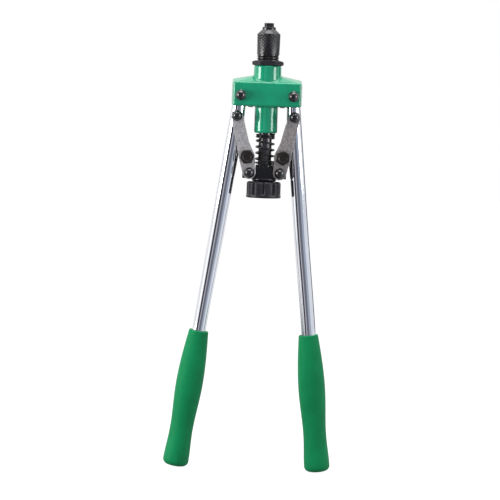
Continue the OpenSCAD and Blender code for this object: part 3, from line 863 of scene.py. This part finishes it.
@dataclass
class Nose(SubAssembly):
    """The nose: lock nut, knurled sleeve, anvil and mandrel, all turned about the tool's axis."""

    lock_nut_af: float = 27.0
    lock_nut_fall: float = 0.035
    lock_nut_turn_deg: float = 30.0
    shank_d: float = 21.9
    shank_pitch: float = 2.4
    shank_chamfer: float = 0.8
    relief_h: float = 0.8
    relief_depth: float = 0.35
    sleeve_d: float = 22.8
    sleeve_foot_d: float = 22.2
    # How far the sleeve's top and the foot of the anvil's ring lie below the CAD's
    ring_drop: float = 1.0
    cone_h: float = 4.0
    cone_top_d: float = 14.4
    # A real knurl of about 1 mm is too fine to show in the render, so it is drawn coarser and deeper
    knurl_mm: float = 3.2
    knurl_depth: float = 0.7
    knurl_worn: float = 0.25
    knurl_fade: float = 0.4
    knurl_flat: float = 1.6
    steps_a_knurl: int = 6
    grip_h: float = 20.5
    grip_edge: float = 0.4
    # Step between the profile's stretches, so that each radius law ends between two rings
    ring_gap: float = 0.1
    anvil_d: float = 13.4
    anvil_wall: float = 1.0
    anvil_shank_h: float = 8.0
    cavity_d: float = 16.6
    mandrel_d: float = 10.0
    mandrel_pitch: float = 1.5
    mandrel_head_h: float = 8.0
    mandrel_socket_r: float = 3.2
    mandrel_thread_len: float = 21.5

    @property
    def knurls(self) -> int:
        """The number of diamonds round the sleeve."""
        return round(math.pi * self.sleeve_d / self.knurl_mm)

    def knurl(self, bottom: float, top: float) -> RadiusLaw:
        """A radius law for a diamond knurl: two crossing sets of grooves that fade at the ends.

        The grooves are the parts of two slanting sines that lie under the diamonds' flats, and grow
        shallower from the top to the worn foot, in a straight line.

        Args:
            bottom: height where the knurl starts.
            top: height where it ends.

        Returns:
            The radius law.
        """
        rise = 2 * np.pi / self.knurl_mm

        def law(r: Array, angle: Array, height: Array) -> Array:
            """The radius less the deeper of two slanting grooves.

            Args:
                r: the turned radius.
                angle: the angle round the axis.
                height: the height along it.

            Returns:
                The new radius.
            """
            right_hand = np.abs(np.sin((self.knurls * angle + rise * height) / 2))
            left_hand = np.abs(np.sin((self.knurls * angle - rise * height) / 2))
            groove = 1 - np.clip(np.minimum(right_hand, left_hand) * self.knurl_flat, 0, 1)
            fade = np.clip(np.minimum(height - bottom, top - height) / self.knurl_fade, 0, 1)
            kept = self.knurl_worn + (1 - self.knurl_worn) * (height - bottom) / (top - bottom)
            return r - self.knurl_depth * kept * groove * fade
        return law

    def build(self) -> None:
        """Makes the pieces of the nose."""
        tool = self.tool
        low, high = tool.span("lock_nut")
        nut = Hardware().hex_nut(self.lock_nut_af, high - low, self.shank_d + 2 * FIT,
                                 self.lock_nut_fall)
        tool.surface(nut.moved(twisted(self.lock_nut_turn_deg), (0, 0, low)), "lock_nut_piece",
                     DRY_BLACK, "lock_nut")
        self.build_sleeve()
        foot = tool.low("anvil")[2]
        collar = tool.high("nose_sleeve")[2] - self.ring_drop
        bore, outer = self.mandrel_d / 2 + FIT, self.anvil_d / 2
        shank = self.mandrel_d / 2 + self.anvil_wall
        anvil = turned_ring([(bore, foot, 0), (shank, foot, 0), (shank, collar, 0),
                             (outer, collar, 0.15), (outer, 0, 0.5), (bore + 0.3, 0, 0),
                             (bore, -0.3, 0)])
        tool.surface(anvil, "anvil_piece", BLACK, "anvil")
        self.build_mandrel()

    def build_sleeve(self) -> None:
        """Makes the sleeve: threaded shank, knurled grip and cone, hollow inside, as one turned ring."""
        bottom, cad_top = self.tool.span("nose_sleeve")
        top = cad_top - self.ring_drop
        grip_top = top - self.cone_h
        grip_low = grip_top - self.grip_h
        outer, foot, shank = self.sleeve_d / 2, self.sleeve_foot_d / 2, self.shank_d / 2
        seat = self.mandrel_d / 2 + self.anvil_wall
        root, cavity = shank - self.relief_depth, self.cavity_d / 2
        gap, chamfer = self.ring_gap, self.shank_chamfer
        relief_low = grip_low - self.relief_h
        knurl_low, knurl_top = grip_low + self.grip_edge, grip_top - self.grip_edge - gap
        cavity_top = top - self.anvil_shank_h
        threaded = stretched(np.array([(shank - chamfer, bottom), (shank, bottom + chamfer),
                                       (shank, relief_low - gap)]), self.shank_pitch / 10)
        collar = rounded([(root, relief_low, 0), (root, grip_low, 0), (foot - gap, grip_low, 0.1),
                          (foot, knurl_low - gap, 0)])
        grip = stretched(np.array([(foot, knurl_low), (outer, knurl_top)]), 0.2)
        cone = rounded([(outer, knurl_top + gap, 0), (outer, grip_top, 0.6),
                        (self.cone_top_d / 2, top, 0.5), (seat, top, 0)])
        inside = np.array([(seat, cavity_top), (cavity, cavity_top), (cavity, bottom)])
        knurl = self.knurl(grip[0, 1], grip[-1, 1])
        screw = thread(self.shank_d, self.shank_pitch)

        def law(r: Array, angle: Array, height: Array) -> Array:
            """The thread on the shank and the knurl on the grip.

            Args:
                r: the turned radius.
                angle: the angle round the axis.
                height: the height along it.

            Returns:
                The new radius.
            """
            on_shank = (height < relief_low - gap / 2) & (r > cavity + gap)
            on_grip = (height > knurl_low - gap / 2) & (height < knurl_top + gap / 2) & (r > shank)
            return np.where(on_shank, screw(r, angle, height),
                            np.where(on_grip, knurl(r, angle, height), r))

        ring = np.concatenate([threaded, collar, grip, cone, inside])
        sleeve = turned(ring, self.knurls * self.steps_a_knurl, closed=True, radius=law)
        self.tool.surface(sleeve, "knurled_sleeve", BLACK, "nose_sleeve", sharp_deg=50)

    def build_mandrel(self) -> None:
        """Makes the mandrel: a socket-head screw with its thread up to the tip."""
        low, tip = self.tool.span("mandrel")
        head_r, r = self.tool.radius("mandrel"), self.mandrel_d / 2
        head_top = low + self.mandrel_head_h
        start = tip - self.mandrel_thread_len
        plain = np.array([(self.mandrel_socket_r, low), (head_r - 0.5, low), (head_r, low + 0.5),
                          (head_r, head_top), (r - 0.1, head_top), (r - 0.1, start - 0.5)])
        threaded = stretched(np.array([(r, start), (r, tip - 0.5), (r - 0.5, tip)]),
                             self.mandrel_pitch / 8)
        mandrel = turned(np.concatenate([plain, threaded]), SMALL_STEPS,
                         radius=thread(self.mandrel_d, self.mandrel_pitch))
        self.tool.surface(mandrel, "threaded_mandrel", BLACK, "mandrel", sharp_deg=50)


@dataclass
class PullTrain(SubAssembly):
    """What slides and spins under the body: pull tube, spring, crosshead, retainer and knob."""

    wire_d: float = 1.8
    spring_d: float = 19.2
    closed_top: float = 2.0
    closed_end: float = 1.0
    turns: float = 7.0
    wire_sides: int = 14
    steps_a_turn: int = 56
    knob_d: float = 34.0
    knob_rim_h: float = 2.5
    knob_rim_out: float = 0.4
    groove_turn_deg: float = 16.5
    knob_round: float = 2.2
    grooves: int = 10
    steps_a_groove: int = 72
    groove_w: float = 4.0
    groove_depth: float = 1.7
    groove_runout: float = 0.9
    groove_from_r: float = 13.5
    groove_full_r: float = 14.7
    dish_r: float = 12.4
    screw_well_d: float = 11.0
    screw_well_h: float = 5.0
    screw_r: float = 2.0
    screw_head_r: float = 4.5
    screw_head_h: float = 2.8
    screw_slot_h: float = 1.4
    spindle_d: float = 6.8
    seat_bore_d: float = 13.1
    spigot_r: float = 9.0
    worn_edge: float = 0.6

    def build(self) -> None:
        """Makes the pieces of the pull train."""
        self.turned_piece("pull_tube", BURNISHED, self.spindle_d, edge=0.5)
        self.turned_piece("spring_seat", BLACK, self.seat_bore_d, edge=0.4)
        self.build_retainer()
        self.build_spring()
        self.build_knob()
        self.tool.bevelled("crosshead", "crosshead_piece", BLACK, self.worn_edge)
        hardware, bolts = Hardware(), "crosshead_bolts"
        reach = self.tool.radius(bolts) - corner_radius(hardware.cap_af)
        height = sum(self.tool.span(bolts)) / 2
        spots = [np.array([side.value * reach, 0, height]) for side in Side]
        cap_on(self.tool, "crosshead", spots, UPRIGHT, hardware.cap_seat, "crosshead_cap_nuts", bolts)

    def turned_piece(self, node: str, finish: Finish, bore_d: float, edge: float) -> None:
        """Makes a plain turned ring or tube about the tool's axis, with softened edges.

        Args:
            node: the CAD node it stands for.
            finish: its finish.
            bore_d: diameter of its bore.
            edge: rounding of its outer edges.
        """
        low, high = self.tool.span(node)
        bore, r = bore_d / 2, self.tool.radius(node)
        ring = turned_ring([(bore, low, 0), (r, low, edge), (r, high, edge), (bore, high, 0)])
        self.tool.surface(ring, f"{node}_piece", finish, node)

    def build_retainer(self) -> None:
        """Makes the retainer: a spigot over a flange with a coned underside."""
        node = "bearing_retainer"
        low, high = self.tool.span(node)
        flange_top = self.tool.low("crosshead")[2]
        cone = (flange_top - low) / 2
        r, bore = self.tool.radius(node), self.spindle_d / 2 + FIT
        ring = turned_ring([(bore, low, 0), (r - cone, low, 0.3), (r, low + cone, 0.5),
                            (r, flange_top, 0.4), (self.spigot_r, flange_top, 0),
                            (self.spigot_r, high, 0), (bore, high, 0)])
        self.tool.surface(ring, f"{node}_piece", BLACK, node)

    def build_spring(self) -> None:
        """Makes the spring: a round wire along a helix whose end coils lie closed.

        The wire's section is a circle about the mean radius, and drops by the closed or the open
        pitch each turn.
        """
        low, high = self.tool.span("return_spring")
        wire_r = self.wire_d / 2
        mean_r = (self.spring_d - self.wire_d) / 2
        turn = np.linspace(0, self.turns, round(self.turns * self.steps_a_turn) + 1)
        closed = self.wire_d + FIT
        span = high - low - self.wire_d
        open_turns = self.turns - self.closed_top - self.closed_end
        pitch = (span - closed * (self.closed_top + self.closed_end)) / open_turns
        opened = np.clip(turn - self.closed_top, 0, open_turns)
        drop = closed * (turn - opened) + pitch * opened
        a = 2 * np.pi * turn[None, :]
        b = 2 * np.pi * np.arange(self.wire_sides)[:, None] / self.wire_sides
        r = mean_r + wire_r * np.cos(b)
        z = high - wire_r - drop[None, :] + wire_r * np.sin(b)
        points = np.stack([r * np.cos(a), r * np.sin(a), z], axis=-1)
        ends = points.mean(axis=0)
        wire = capped(grid(points, True, False), len(turn), ends[0], ends[-1])
        piece = self.tool.surface(wire, "coil_spring", BLACK, "return_spring", sharp_deg=60)
        stroke = self.tool.joint("crosshead_slide")["range_m"][1] / MM
        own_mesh(piece)

    def build_knob(self) -> None:
        """Makes the knob, with its grooves as dips in the turned radius, and its screw."""
        tool = self.tool
        low, high = tool.span("spin_knob")
        r, rim_r = self.knob_d / 2, self.knob_d / 2 + self.knob_rim_out
        rim_top, well_top = low + self.knob_rim_h, low + self.screw_well_h
        bore, well = self.spindle_d / 2 + FIT, self.screw_well_d / 2
        ring = rounded([
            (bore, high - 1.0, 0), (bore, well_top, 0), (well, well_top, 0), (well, low, 0.4),
            (rim_r, low, 0.7), (rim_r, rim_top, 0.35), (r, rim_top + 0.3, 0.2),
            (r, high, self.knob_round), (self.dish_r, high, 0.6)], closed=True, steps=6)
        loop = stretched(ring, 0.9, closed=True)

        def dips(radius: Array, angle: Array, height: Array) -> Array:
            """The radius less grooves of a cosine section, which run out over the rim.

            Args:
                radius: the turned radius.
                angle: the angle round the axis.
                height: the height along it.

            Returns:
                The new radius.
            """
            pitch = 2 * np.pi / self.grooves
            start = math.radians(self.groove_turn_deg)
            off = np.abs((angle - start + pitch / 2) % pitch - pitch / 2) * r
            across = 1 - eased(off, 0, self.groove_w / 2)
            along = np.clip((height - rim_top - 0.5) / self.groove_runout, 0, 1)
            outer = np.interp(radius, (self.groove_from_r, self.groove_full_r), (0, 1))
            return radius - self.groove_depth * across * along * outer

        knob = turned(loop, self.grooves * self.steps_a_groove, closed=True, radius=dips)
        tool.surface(knob, "grooved_knob", PLASTIC, "spin_knob", sharp_deg=40)
        foot, tip = tool.span("knob_screw")
        neck = foot + self.screw_head_h
        profile = rounded([(self.screw_r - 0.1, foot + self.screw_slot_h, 0),
                           (self.screw_r, foot, 0.1), (self.screw_head_r, foot, 0.6),
                           (self.screw_head_r, neck, 0), (self.screw_r, neck, 0),
                           (self.screw_r, tip, 0)])
        tool.surface(turned(profile, SMALL_STEPS), "knob_screw_piece", STEEL, "knob_screw")


@dataclass
class Handle(SubAssembly):
    """One handle: a chromed tube with a vinyl grip, and the bolt that carries the link.

    Distances along it are from its pivot, and the grip's from its mouth.
    """

    side: Side
    tube_d: float = 14.0
    tube_wall: float = 1.5
    tube_top: float = 8.5
    tube_steps: int = 128
    grip_steps: int = 96
    tube_swell: float = 1.2
    right_foot_swell: float = 0.8
    swell_from: tuple[float, float] = (11.0, 26.0)
    swell_to: float = 130.0
    plain_from: float = 230.0
    grip_start: float = 238.4
    grip_len: float = 138.3
    mouth_d: float = 19.4
    belly_d: float = 27.0
    belly_at: float = 54.5
    waist_d: float = 23.2
    waist_at: float = 101.0
    end_d: float = 25.8
    end_round: float = 5.0
    end_rise: float = 0.7
    end_wall: float = 7.0

    def tube(self) -> Surface:
        """The tube, a little wider near the head, where its inner side swells towards the tool's axis.

        A point moves inwards by half the swell times 1 + x / r, so the outer side stays straight. The
        swell starts below the casting, and eases to nothing down the tube along half a cosine. The
        right tube's foot swells on its outer side instead, by what is left of that share.

        Returns:
            The tube, with the pivot at the origin.
        """
        end = self.grip_start + self.grip_len - self.end_wall
        r, bore = self.tube_d / 2, self.tube_d / 2 - self.tube_wall
        steps = np.concatenate([np.linspace(self.plain_from, self.swell_to, 11),
                                np.linspace(*self.swell_from[::-1], 7)])
        ring = rounded([(bore, -end, 0), (r, -end, 0.3), *((r, -s, 0) for s in steps),
                        (r, self.tube_top, 0.4), (bore, self.tube_top, 0.2),
                        *((bore, -s, 0) for s in steps[::-1])], closed=True)
        tube = turned(ring, self.tube_steps, closed=True)
        x, z = tube.points[:, 0], tube.points[:, 2]
        share = 1 - eased(-z, self.swell_to, self.plain_from)
        start = np.interp(-z, self.swell_from, (0, 1))
        inner = self.tube_swell * start * share / 2 * (x / r - self.side.value)
        foot = self.right_foot_swell if self.side is Side.RIGHT else 0.0
        outer = foot * (1 - share) / 2 * (x / r + self.side.value)
        tube.points[:, 0] = x + inner + outer
        return tube

    def grip_profile(self) -> Array:
        """The grip's outside, from its closed end up to its mouth.

        The diameter swells from the mouth to the belly along a quarter sine, falls to the waist and
        flares to the end along half cosines, and a rounded edge closes the end.

        Returns:
            Rows of radius and height, with the mouth at height 0.
        """
        straight = self.grip_len - self.end_round
        s = np.linspace(straight, 1.6, 60)
        swell = self.mouth_d + (self.belly_d - self.mouth_d) * np.sin(
            np.pi / 2 * np.clip(s / self.belly_at, 0, 1))
        fall = (self.waist_d - self.belly_d) * eased(s, self.belly_at, self.waist_at)
        flare = (self.end_d - self.waist_d) * eased(s, self.waist_at, straight)
        wall = np.stack([(swell + fall + flare) / 2, -s], axis=-1)
        arc = np.linspace(-np.pi / 2, 0, 9)[:-1, None]
        centre = np.array([self.end_d / 2 - self.end_round, -straight])
        edge = centre + self.end_round * np.concatenate([np.cos(arc), np.sin(arc)], axis=-1)
        dome = np.array([(2.0, -self.grip_len - self.end_rise),
                         (6.0, -self.grip_len - self.end_rise / 2)])
        bore = self.tube_d / 2 + 2 * FIT
        mouth = rounded([(wall[-1, 0], -1.5, 0), (self.mouth_d / 2, 0, 0.9), (bore + 0.3, 0, 0.3),
                         (bore, -2, 0), (bore, self.end_wall - self.grip_len, 0)])
        return np.concatenate([dome, edge, wall, mouth])

    def build(self) -> None:
        """Makes the tube, the grip and the link bolt with its cap nut."""
        tool, word = self.tool, self.side.word
        pivot, link = tool.pivot(f"{word}_handle_swing"), tool.pivot(f"{word}_link_swing")
        along = link - pivot
        turn = leaning(math.degrees(math.atan2(-along[0], -along[2])))
        tool.surface(self.tube().moved(turn, pivot), f"{word}_chrome_tube", CHROME,
                     f"{word}_handle_tube")
        grip = turned(self.grip_profile(), self.grip_steps)
        mouth = pivot + turn @ np.array([0, 0, -self.grip_start])
        tool.surface(grip.moved(turn, mouth), f"{word}_vinyl_grip", VINYL, f"{word}_grip",
                     sharp_deg=60)
        cap_on(tool, f"{word}_link", [link], turn, Hardware().cap_seat, f"{word}_link_cap_nut",
               f"{word}_link_bolt")


def cap_on(tool: Tool, name: str, spots: Sequence[Array], turn: Array, seat: float, nut_node: str,
           bolt_node: str) -> None:
    """Makes cap nuts in front of the tool and the bolts that come through from behind.

    Args:
        tool: the frame to build on.
        name: the start of the pieces' names.
        spots: the bolts' places on the tool's middle plane.
        turn: the turn of what carries them.
        seat: distance of the nuts' and heads' seats from the middle plane.
        nut_node: the CAD node of the nuts.
        bolt_node: the CAD node of the bolts.
    """
    hardware = Hardware()
    nut = hardware.cap_nut()
    head = hardware.hex_head(hardware.cap_af, hardware.head_h).moved(UPRIGHT, (0, 0, seat))
    shank = hardware.shank(hardware.cap_bolt_d, -seat - hardware.cap_reach,
                           seat + hardware.head_overlap)
    bolt = Surface.joined([head, shank])
    nuts = [nut.moved(turn @ FORWARD, spot + np.array([0, -seat, 0])) for spot in spots]
    bolts = [bolt.moved(turn @ BACKWARD, spot) for spot in spots]
    tool.surface(Surface.joined(nuts), f"{name}_cap_nut_piece", BUFFED, nut_node)
    tool.surface(Surface.joined(bolts), f"{name}_bolt_piece", BROWNED, bolt_node)


@dataclass
class Link(SubAssembly):
    """One pair of link plates with the tie bolt, spacer and nut that hold them together."""

    side: Side
    plate_out: float = 10.15
    plate_in: float = 7.15
    # How far the tie bolt's tip stands out of its nut
    tip_out: float = 0.8
    spacer_d: float = 10.4
    edge: float = 0.55
    left_twist_deg: float = 38.0

    def build(self) -> None:
        """Makes the plates and their tie bolt."""
        tool, word, hardware = self.tool, self.side.word, Hardware()
        is_left = self.side is Side.LEFT
        for face in ("front", "rear"):
            node = f"{word}_{face}_link"
            # the right-hand plates take the darker copy of the zinc, as painted shade
            tool.bevelled(node, f"{node}_plate", ZINC if is_left else SHADED_ZINC, self.edge)
        middle = (tool.low(f"{word}_tie_spacer") + tool.high(f"{word}_tie_spacer")) / 2
        turn = FORWARD @ twisted(self.left_twist_deg if is_left else 0.0)
        head = hardware.hex_head(hardware.tie_af, hardware.tie_head_h, hardware.tie_recess_d)
        shank = hardware.shank(hardware.tie_d, -self.plate_out - hardware.tie_nut_h - self.tip_out,
                               self.plate_out + hardware.head_overlap, hardware.tie_pitch)
        bolt = Surface.joined([head.moved(UPRIGHT, (0, 0, self.plate_out)), shank])
        tool.surface(bolt.moved(turn, middle), f"{word}_tie_bolt_piece", BROWNED,
                     f"{word}_tie_bolt")
        nut = hardware.hex_nut(hardware.tie_af, hardware.tie_nut_h, hardware.tie_d + 2 * FIT)
        tool.surface(nut.moved(BACKWARD, middle + np.array([0, self.plate_out, 0])),
                     f"{word}_tie_nut_piece", BROWNED, f"{word}_tie_nut")
        bore, r, half = hardware.tie_d / 2 + FIT, self.spacer_d / 2, self.plate_in
        spacer = turned_ring([(bore, -half, 0), (r, -half, 0.3), (r, half, 0.3), (bore, half, 0)],
                             SMALL_STEPS)
        tool.surface(spacer.moved(FORWARD, middle), f"{word}_tie_spacer_piece", STEEL,
                     f"{word}_tie_spacer")


@dataclass(frozen=True)
class Band:
    """A band of the studio's curved screen, which only gloss sees.

    It runs from start to stop, in degrees round the tool from the camera's side towards its right. Its
    foot, top and distance are in metres.
    """

    start: float
    stop: float
    colour: str
    glow: float = 1.0
    foot: float = -0.9
    top: float = 0.4
    distance: float = 0.45


class Glow(Enum):
    """The bands that the chrome mirrors, from its left edge to its right one."""

    WHITE = Band(-84.0, -60.0, "#FFFFFF", glow=1.35, foot=-0.295, top=-0.14)
    EDGE = Band(-60.0, -52.0, "#FFFFFF")
    DARK = Band(-52.0, -27.0, "#45454E")
    SLIT = Band(-27.0, -14.0, "#C6C6CE")
    FRONT = Band(-14.0, 18.0, "#767982")
    BLUE = Band(18.0, 46.0, "#AEB7C7")
    LIGHT = Band(46.0, 76.0, "#ECF1F8")
    PALE = Band(76.0, 108.0, "#F4F7FC")
    RIM = Band(104.0, 134.0, "#4A4A56", foot=-0.36, top=0.3, distance=1.2)


@dataclass(frozen=True)
class Softbox:
    """A rectangular light, and the panel that gloss shows in its place: its brightness, and its
    distance and size as a share of the light's."""

    name: str
    centre: tuple[float, float, float]
    size: tuple[float, float]
    watts: float
    panel: float
    near: float = 0.99


@dataclass
class Studio:
    """A white studio: floor, softboxes, a curved screen for the chrome to mirror, and the camera."""

    distance: float = 1.7
    focal_px: float = 1701.8
    frame_px: float = 500.0
    sensor_mm: float = 36.0
    target_mm: tuple[float, float, float] = (-11.4, 0.0, -221.5)
    elevation_deg: float = 4.5
    azimuth_deg: float = 1.13
    roll_deg: float = 1.98
    floor_reach: float = 6.0
    floor_drop_mm: float = 1.0
    floor_glow: float = 0.94
    floor_albedo: float = 0.2
    world_light: float = 0.5
    pit_depth: float = 1.5
    pit_reach: tuple[float, float, float] = (-5.0, 3.5, 4.5)
    pit_colour: str = "#9A9DA4"
    world_colour: str = "#F6F8FF"
    aim: tuple[float, float, float] = (0.0, 0.0, -0.1)
    boxes: tuple[Softbox, ...] = (
        Softbox("left_softbox", (-1.1, -0.5, -0.05), (0.72, 0.5), 13.0, 14.0),
        Softbox("right_softbox", (1.05, -0.58, 0.03), (0.44, 0.5), 5.0, 9.0, 0.34),
        Softbox("top_softbox", (0.0, -0.1, 1.0), (0.9, 0.6), 13.0, 6.0),
        Softbox("back_softbox", (0.0, 0.75, 1.1), (1.4, 0.6), 2.0, 2.4))

    def camera(self) -> None:
        """Adds the camera at the photograph's angle."""
        el, az, roll = (math.radians(a) for a in (self.elevation_deg, self.azimuth_deg, self.roll_deg))
        ahead = Vector((math.sin(az) * math.cos(el), math.cos(az) * math.cos(el), -math.sin(el)))
        across = Vector((math.cos(az), -math.sin(az), 0))
        up = across.cross(ahead)
        right = across * math.cos(roll) + up * math.sin(roll)
        top = up * math.cos(roll) - across * math.sin(roll)
        data = bpy.data.cameras.new("photo_camera")
        data.sensor_width = self.sensor_mm
        data.lens = self.focal_px / self.frame_px * self.sensor_mm
        eye = add_object("photo_camera", data)
        spot = Vector(self.target_mm) * MM - ahead * self.distance
        turn = Matrix((right, top, -ahead)).transposed()
        eye.matrix_world = Matrix.Translation(spot) @ turn.to_4x4()
        bpy.context.scene.camera = eye

    @staticmethod
    def panel(name: str, points: Array, material: bpy.types.Material) -> bpy.types.Object:
        """Adds a panel to the stage.

        Args:
            name: the panel's name.
            points: its points in metres, as an array of u by v by 3.
            material: its material.

        Returns:
            The panel.
        """
        sheet = grid(points, False, False)
        mesh = bpy.data.meshes.new(name)
        mesh.from_pydata(sheet.points.tolist(), [], sheet.quads.tolist())
        mesh.materials.append(material)
        panel = add_object(name, mesh)
        panel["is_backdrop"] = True
        return panel

    @staticmethod
    def rectangle(west: float, east: float, south: float, north: float, height: float) -> Array:
        """The corners of a level rectangle, as an array of 2 by 2 by 3."""
        return np.array([[(x, y, height) for y in (south, north)] for x in (west, east)])

    def mirrored(self, name: str, points: Array, colour: str, strength: float) -> bpy.types.Object:
        """Adds a glowing panel that only gloss sees, so that it lights nothing.

        Args:
            name: the panel's name.
            points: its points in metres, as an array of u by v by 3.
            colour: its sRGB colour.
            strength: its brightness.

        Returns:
            The panel.
        """
        material = bpy.data.materials.new(name)
        tree = empty_tree(material)
        glow = add_node(tree, "ShaderNodeEmission", {"Color": linear(colour), "Strength": strength})
        clear = add_node(tree, "ShaderNodeBsdfTransparent", {})
        rays = add_node(tree, "ShaderNodeLightPath", {})
        mix = add_node(tree, "ShaderNodeMixShader", {
            0: rays.outputs["Is Glossy Ray"], 1: clear.outputs[0], 2: glow.outputs[0]})
        add_node(tree, "ShaderNodeOutputMaterial", {"Surface": mix.outputs[0]})
        return self.panel(name, points, material)

    def screen(self) -> None:
        """Adds the curved screen behind the camera, band by band."""
        for glow in Glow:
            band = glow.value
            angle = np.radians(np.linspace(band.start, band.stop, 13))
            rim = np.stack([np.sin(angle), -np.cos(angle)], axis=-1) * band.distance
            points = np.array([[(x, y, z) for z in (band.foot, band.top)] for x, y in rim])
            self.mirrored(f"screen_{glow.name.lower()}", points, band.colour, band.glow)

    def softbox(self, box: Softbox) -> None:
        """Adds an area light aimed at the tool, and just before it the panel that gloss sees.

        Args:
            box: the softbox.
        """
        data = bpy.data.lights.new(box.name, "AREA")
        data.shape = "RECTANGLE"
        data.size, data.size_y = box.size
        data.energy = box.watts
        lamp = add_object(box.name, data)
        way = Vector(self.aim) - Vector(box.centre)
        turn = way.to_track_quat("-Z", "Y").to_matrix().to_4x4()
        lamp.matrix_world = Matrix.Translation(Vector(box.centre)) @ turn
        lamp.visible_glossy = False
        w, h = (side / 2 * box.near for side in box.size)
        panel = self.mirrored(f"{box.name}_panel", self.rectangle(-w, w, -h, h, 0), "#FFFFFF",
                              box.panel)
        panel.matrix_world = Matrix.Translation(way * (1 - box.near)) @ lamp.matrix_world

    def floor(self, height: float) -> None:
        """Adds the white floor: it glows almost white to the eye, and its paper takes the shadow.

        Gloss looks through it to the screen and to a grey panel far below.

        Args:
            height: the floor's height, in metres.
        """
        material = bpy.data.materials.new("white_paper")
        tree = empty_tree(material)
        rays = add_node(tree, "ShaderNodeLightPath", {})
        share = add_node(tree, "ShaderNodeMath", {
            0: rays.outputs["Is Camera Ray"], 1: self.floor_glow}, operation="MULTIPLY")
        glow = add_node(tree, "ShaderNodeEmission", {
            "Color": linear("#FFFFFF"), "Strength": share.outputs[0]})
        paper = add_node(tree, "ShaderNodeBsdfDiffuse", {"Color": (self.floor_albedo,) * 3 + (1.0,)})
        both = add_node(tree, "ShaderNodeAddShader", {0: glow.outputs[0], 1: paper.outputs[0]})
        clear = add_node(tree, "ShaderNodeBsdfTransparent", {})
        mix = add_node(tree, "ShaderNodeMixShader", {
            0: rays.outputs["Is Glossy Ray"], 1: both.outputs[0], 2: clear.outputs[0]})
        add_node(tree, "ShaderNodeOutputMaterial", {"Surface": mix.outputs[0]})
        w = self.floor_reach
        self.panel("studio_floor", self.rectangle(-w, w, -w, w, height), material)
        west, east, north = self.pit_reach
        self.mirrored("low_panel", self.rectangle(west, east, -w, north, -self.pit_depth),
                      self.pit_colour, 1.0)

    def world(self) -> None:
        """Sets a white world that the camera and mirrors see, with a softer light on surfaces."""
        world = bpy.data.worlds.new("white_studio")
        bpy.context.scene.world = world
        tree = empty_tree(world)
        rays = add_node(tree, "ShaderNodeLightPath", {})
        seen = rays.outputs["Is Camera Ray"]
        for kind in ("Is Glossy Ray", "Is Transmission Ray"):
            seen = add_node(tree, "ShaderNodeMath", {0: seen, 1: rays.outputs[kind]},
                            operation="MAXIMUM").outputs[0]
        soft, white = (add_node(tree, "ShaderNodeBackground", {
            "Color": linear(colour), "Strength": strength}) for colour, strength in (
                (self.world_colour, self.world_light), ("#FFFFFF", 1.0)))
        mix = add_node(tree, "ShaderNodeMixShader", {
            0: seen, 1: soft.outputs[0], 2: white.outputs[0]})
        add_node(tree, "ShaderNodeOutputWorld", {"Surface": mix.outputs[0]})

    def build(self, bottom: float) -> None:
        """Builds the studio round the object.

        Args:
            bottom: height of the object's lowest point, in metres.
        """
        bpy.context.scene.view_settings.view_transform = "Standard"
        self.camera()
        self.world()
        self.floor(bottom - self.floor_drop_mm * MM)
        self.screen()
        for box in self.boxes:
            self.softbox(box)


def dress_inner_nodes(tool: Tool) -> None:
    """Gives the CAD nodes that stay in the scene a turned steel finish.

    Args:
        tool: the frame to build on.
    """
    for node in ("mandrel_holder", "thrust_washer", "spindle", "left_handle_core",
                 "right_handle_core"):
        data = tool.frame["nodes"][node].data
        data.materials.clear()
        data.materials.append(STEEL.build())


def main() -> None:
    """Builds the tool piece by piece, then the studio round it."""
    logging.basicConfig(level=logging.INFO, format="%(message)s")
    tool = Tool(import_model())
    cad_box = [list(corner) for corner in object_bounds()]
    Casting(tool).build()
    pivots = [tool.pivot(f"{side.word}_handle_swing") for side in Side]
    cap_on(tool, "handle_pivot", pivots, UPRIGHT, tool.high("body_casting")[1],
           "handle_pivot_cap_nuts", "handle_pivot_bolts")
    Nose(tool).build()
    PullTrain(tool).build()
    for side in Side:
        Handle(tool, side).build()
        Link(tool, side).build()
    dress_inner_nodes(tool)
    Studio().build(cad_box[0][2])
    log.info("%d pieces made", len(tool.made))


if __name__ == "__main__":
    main()
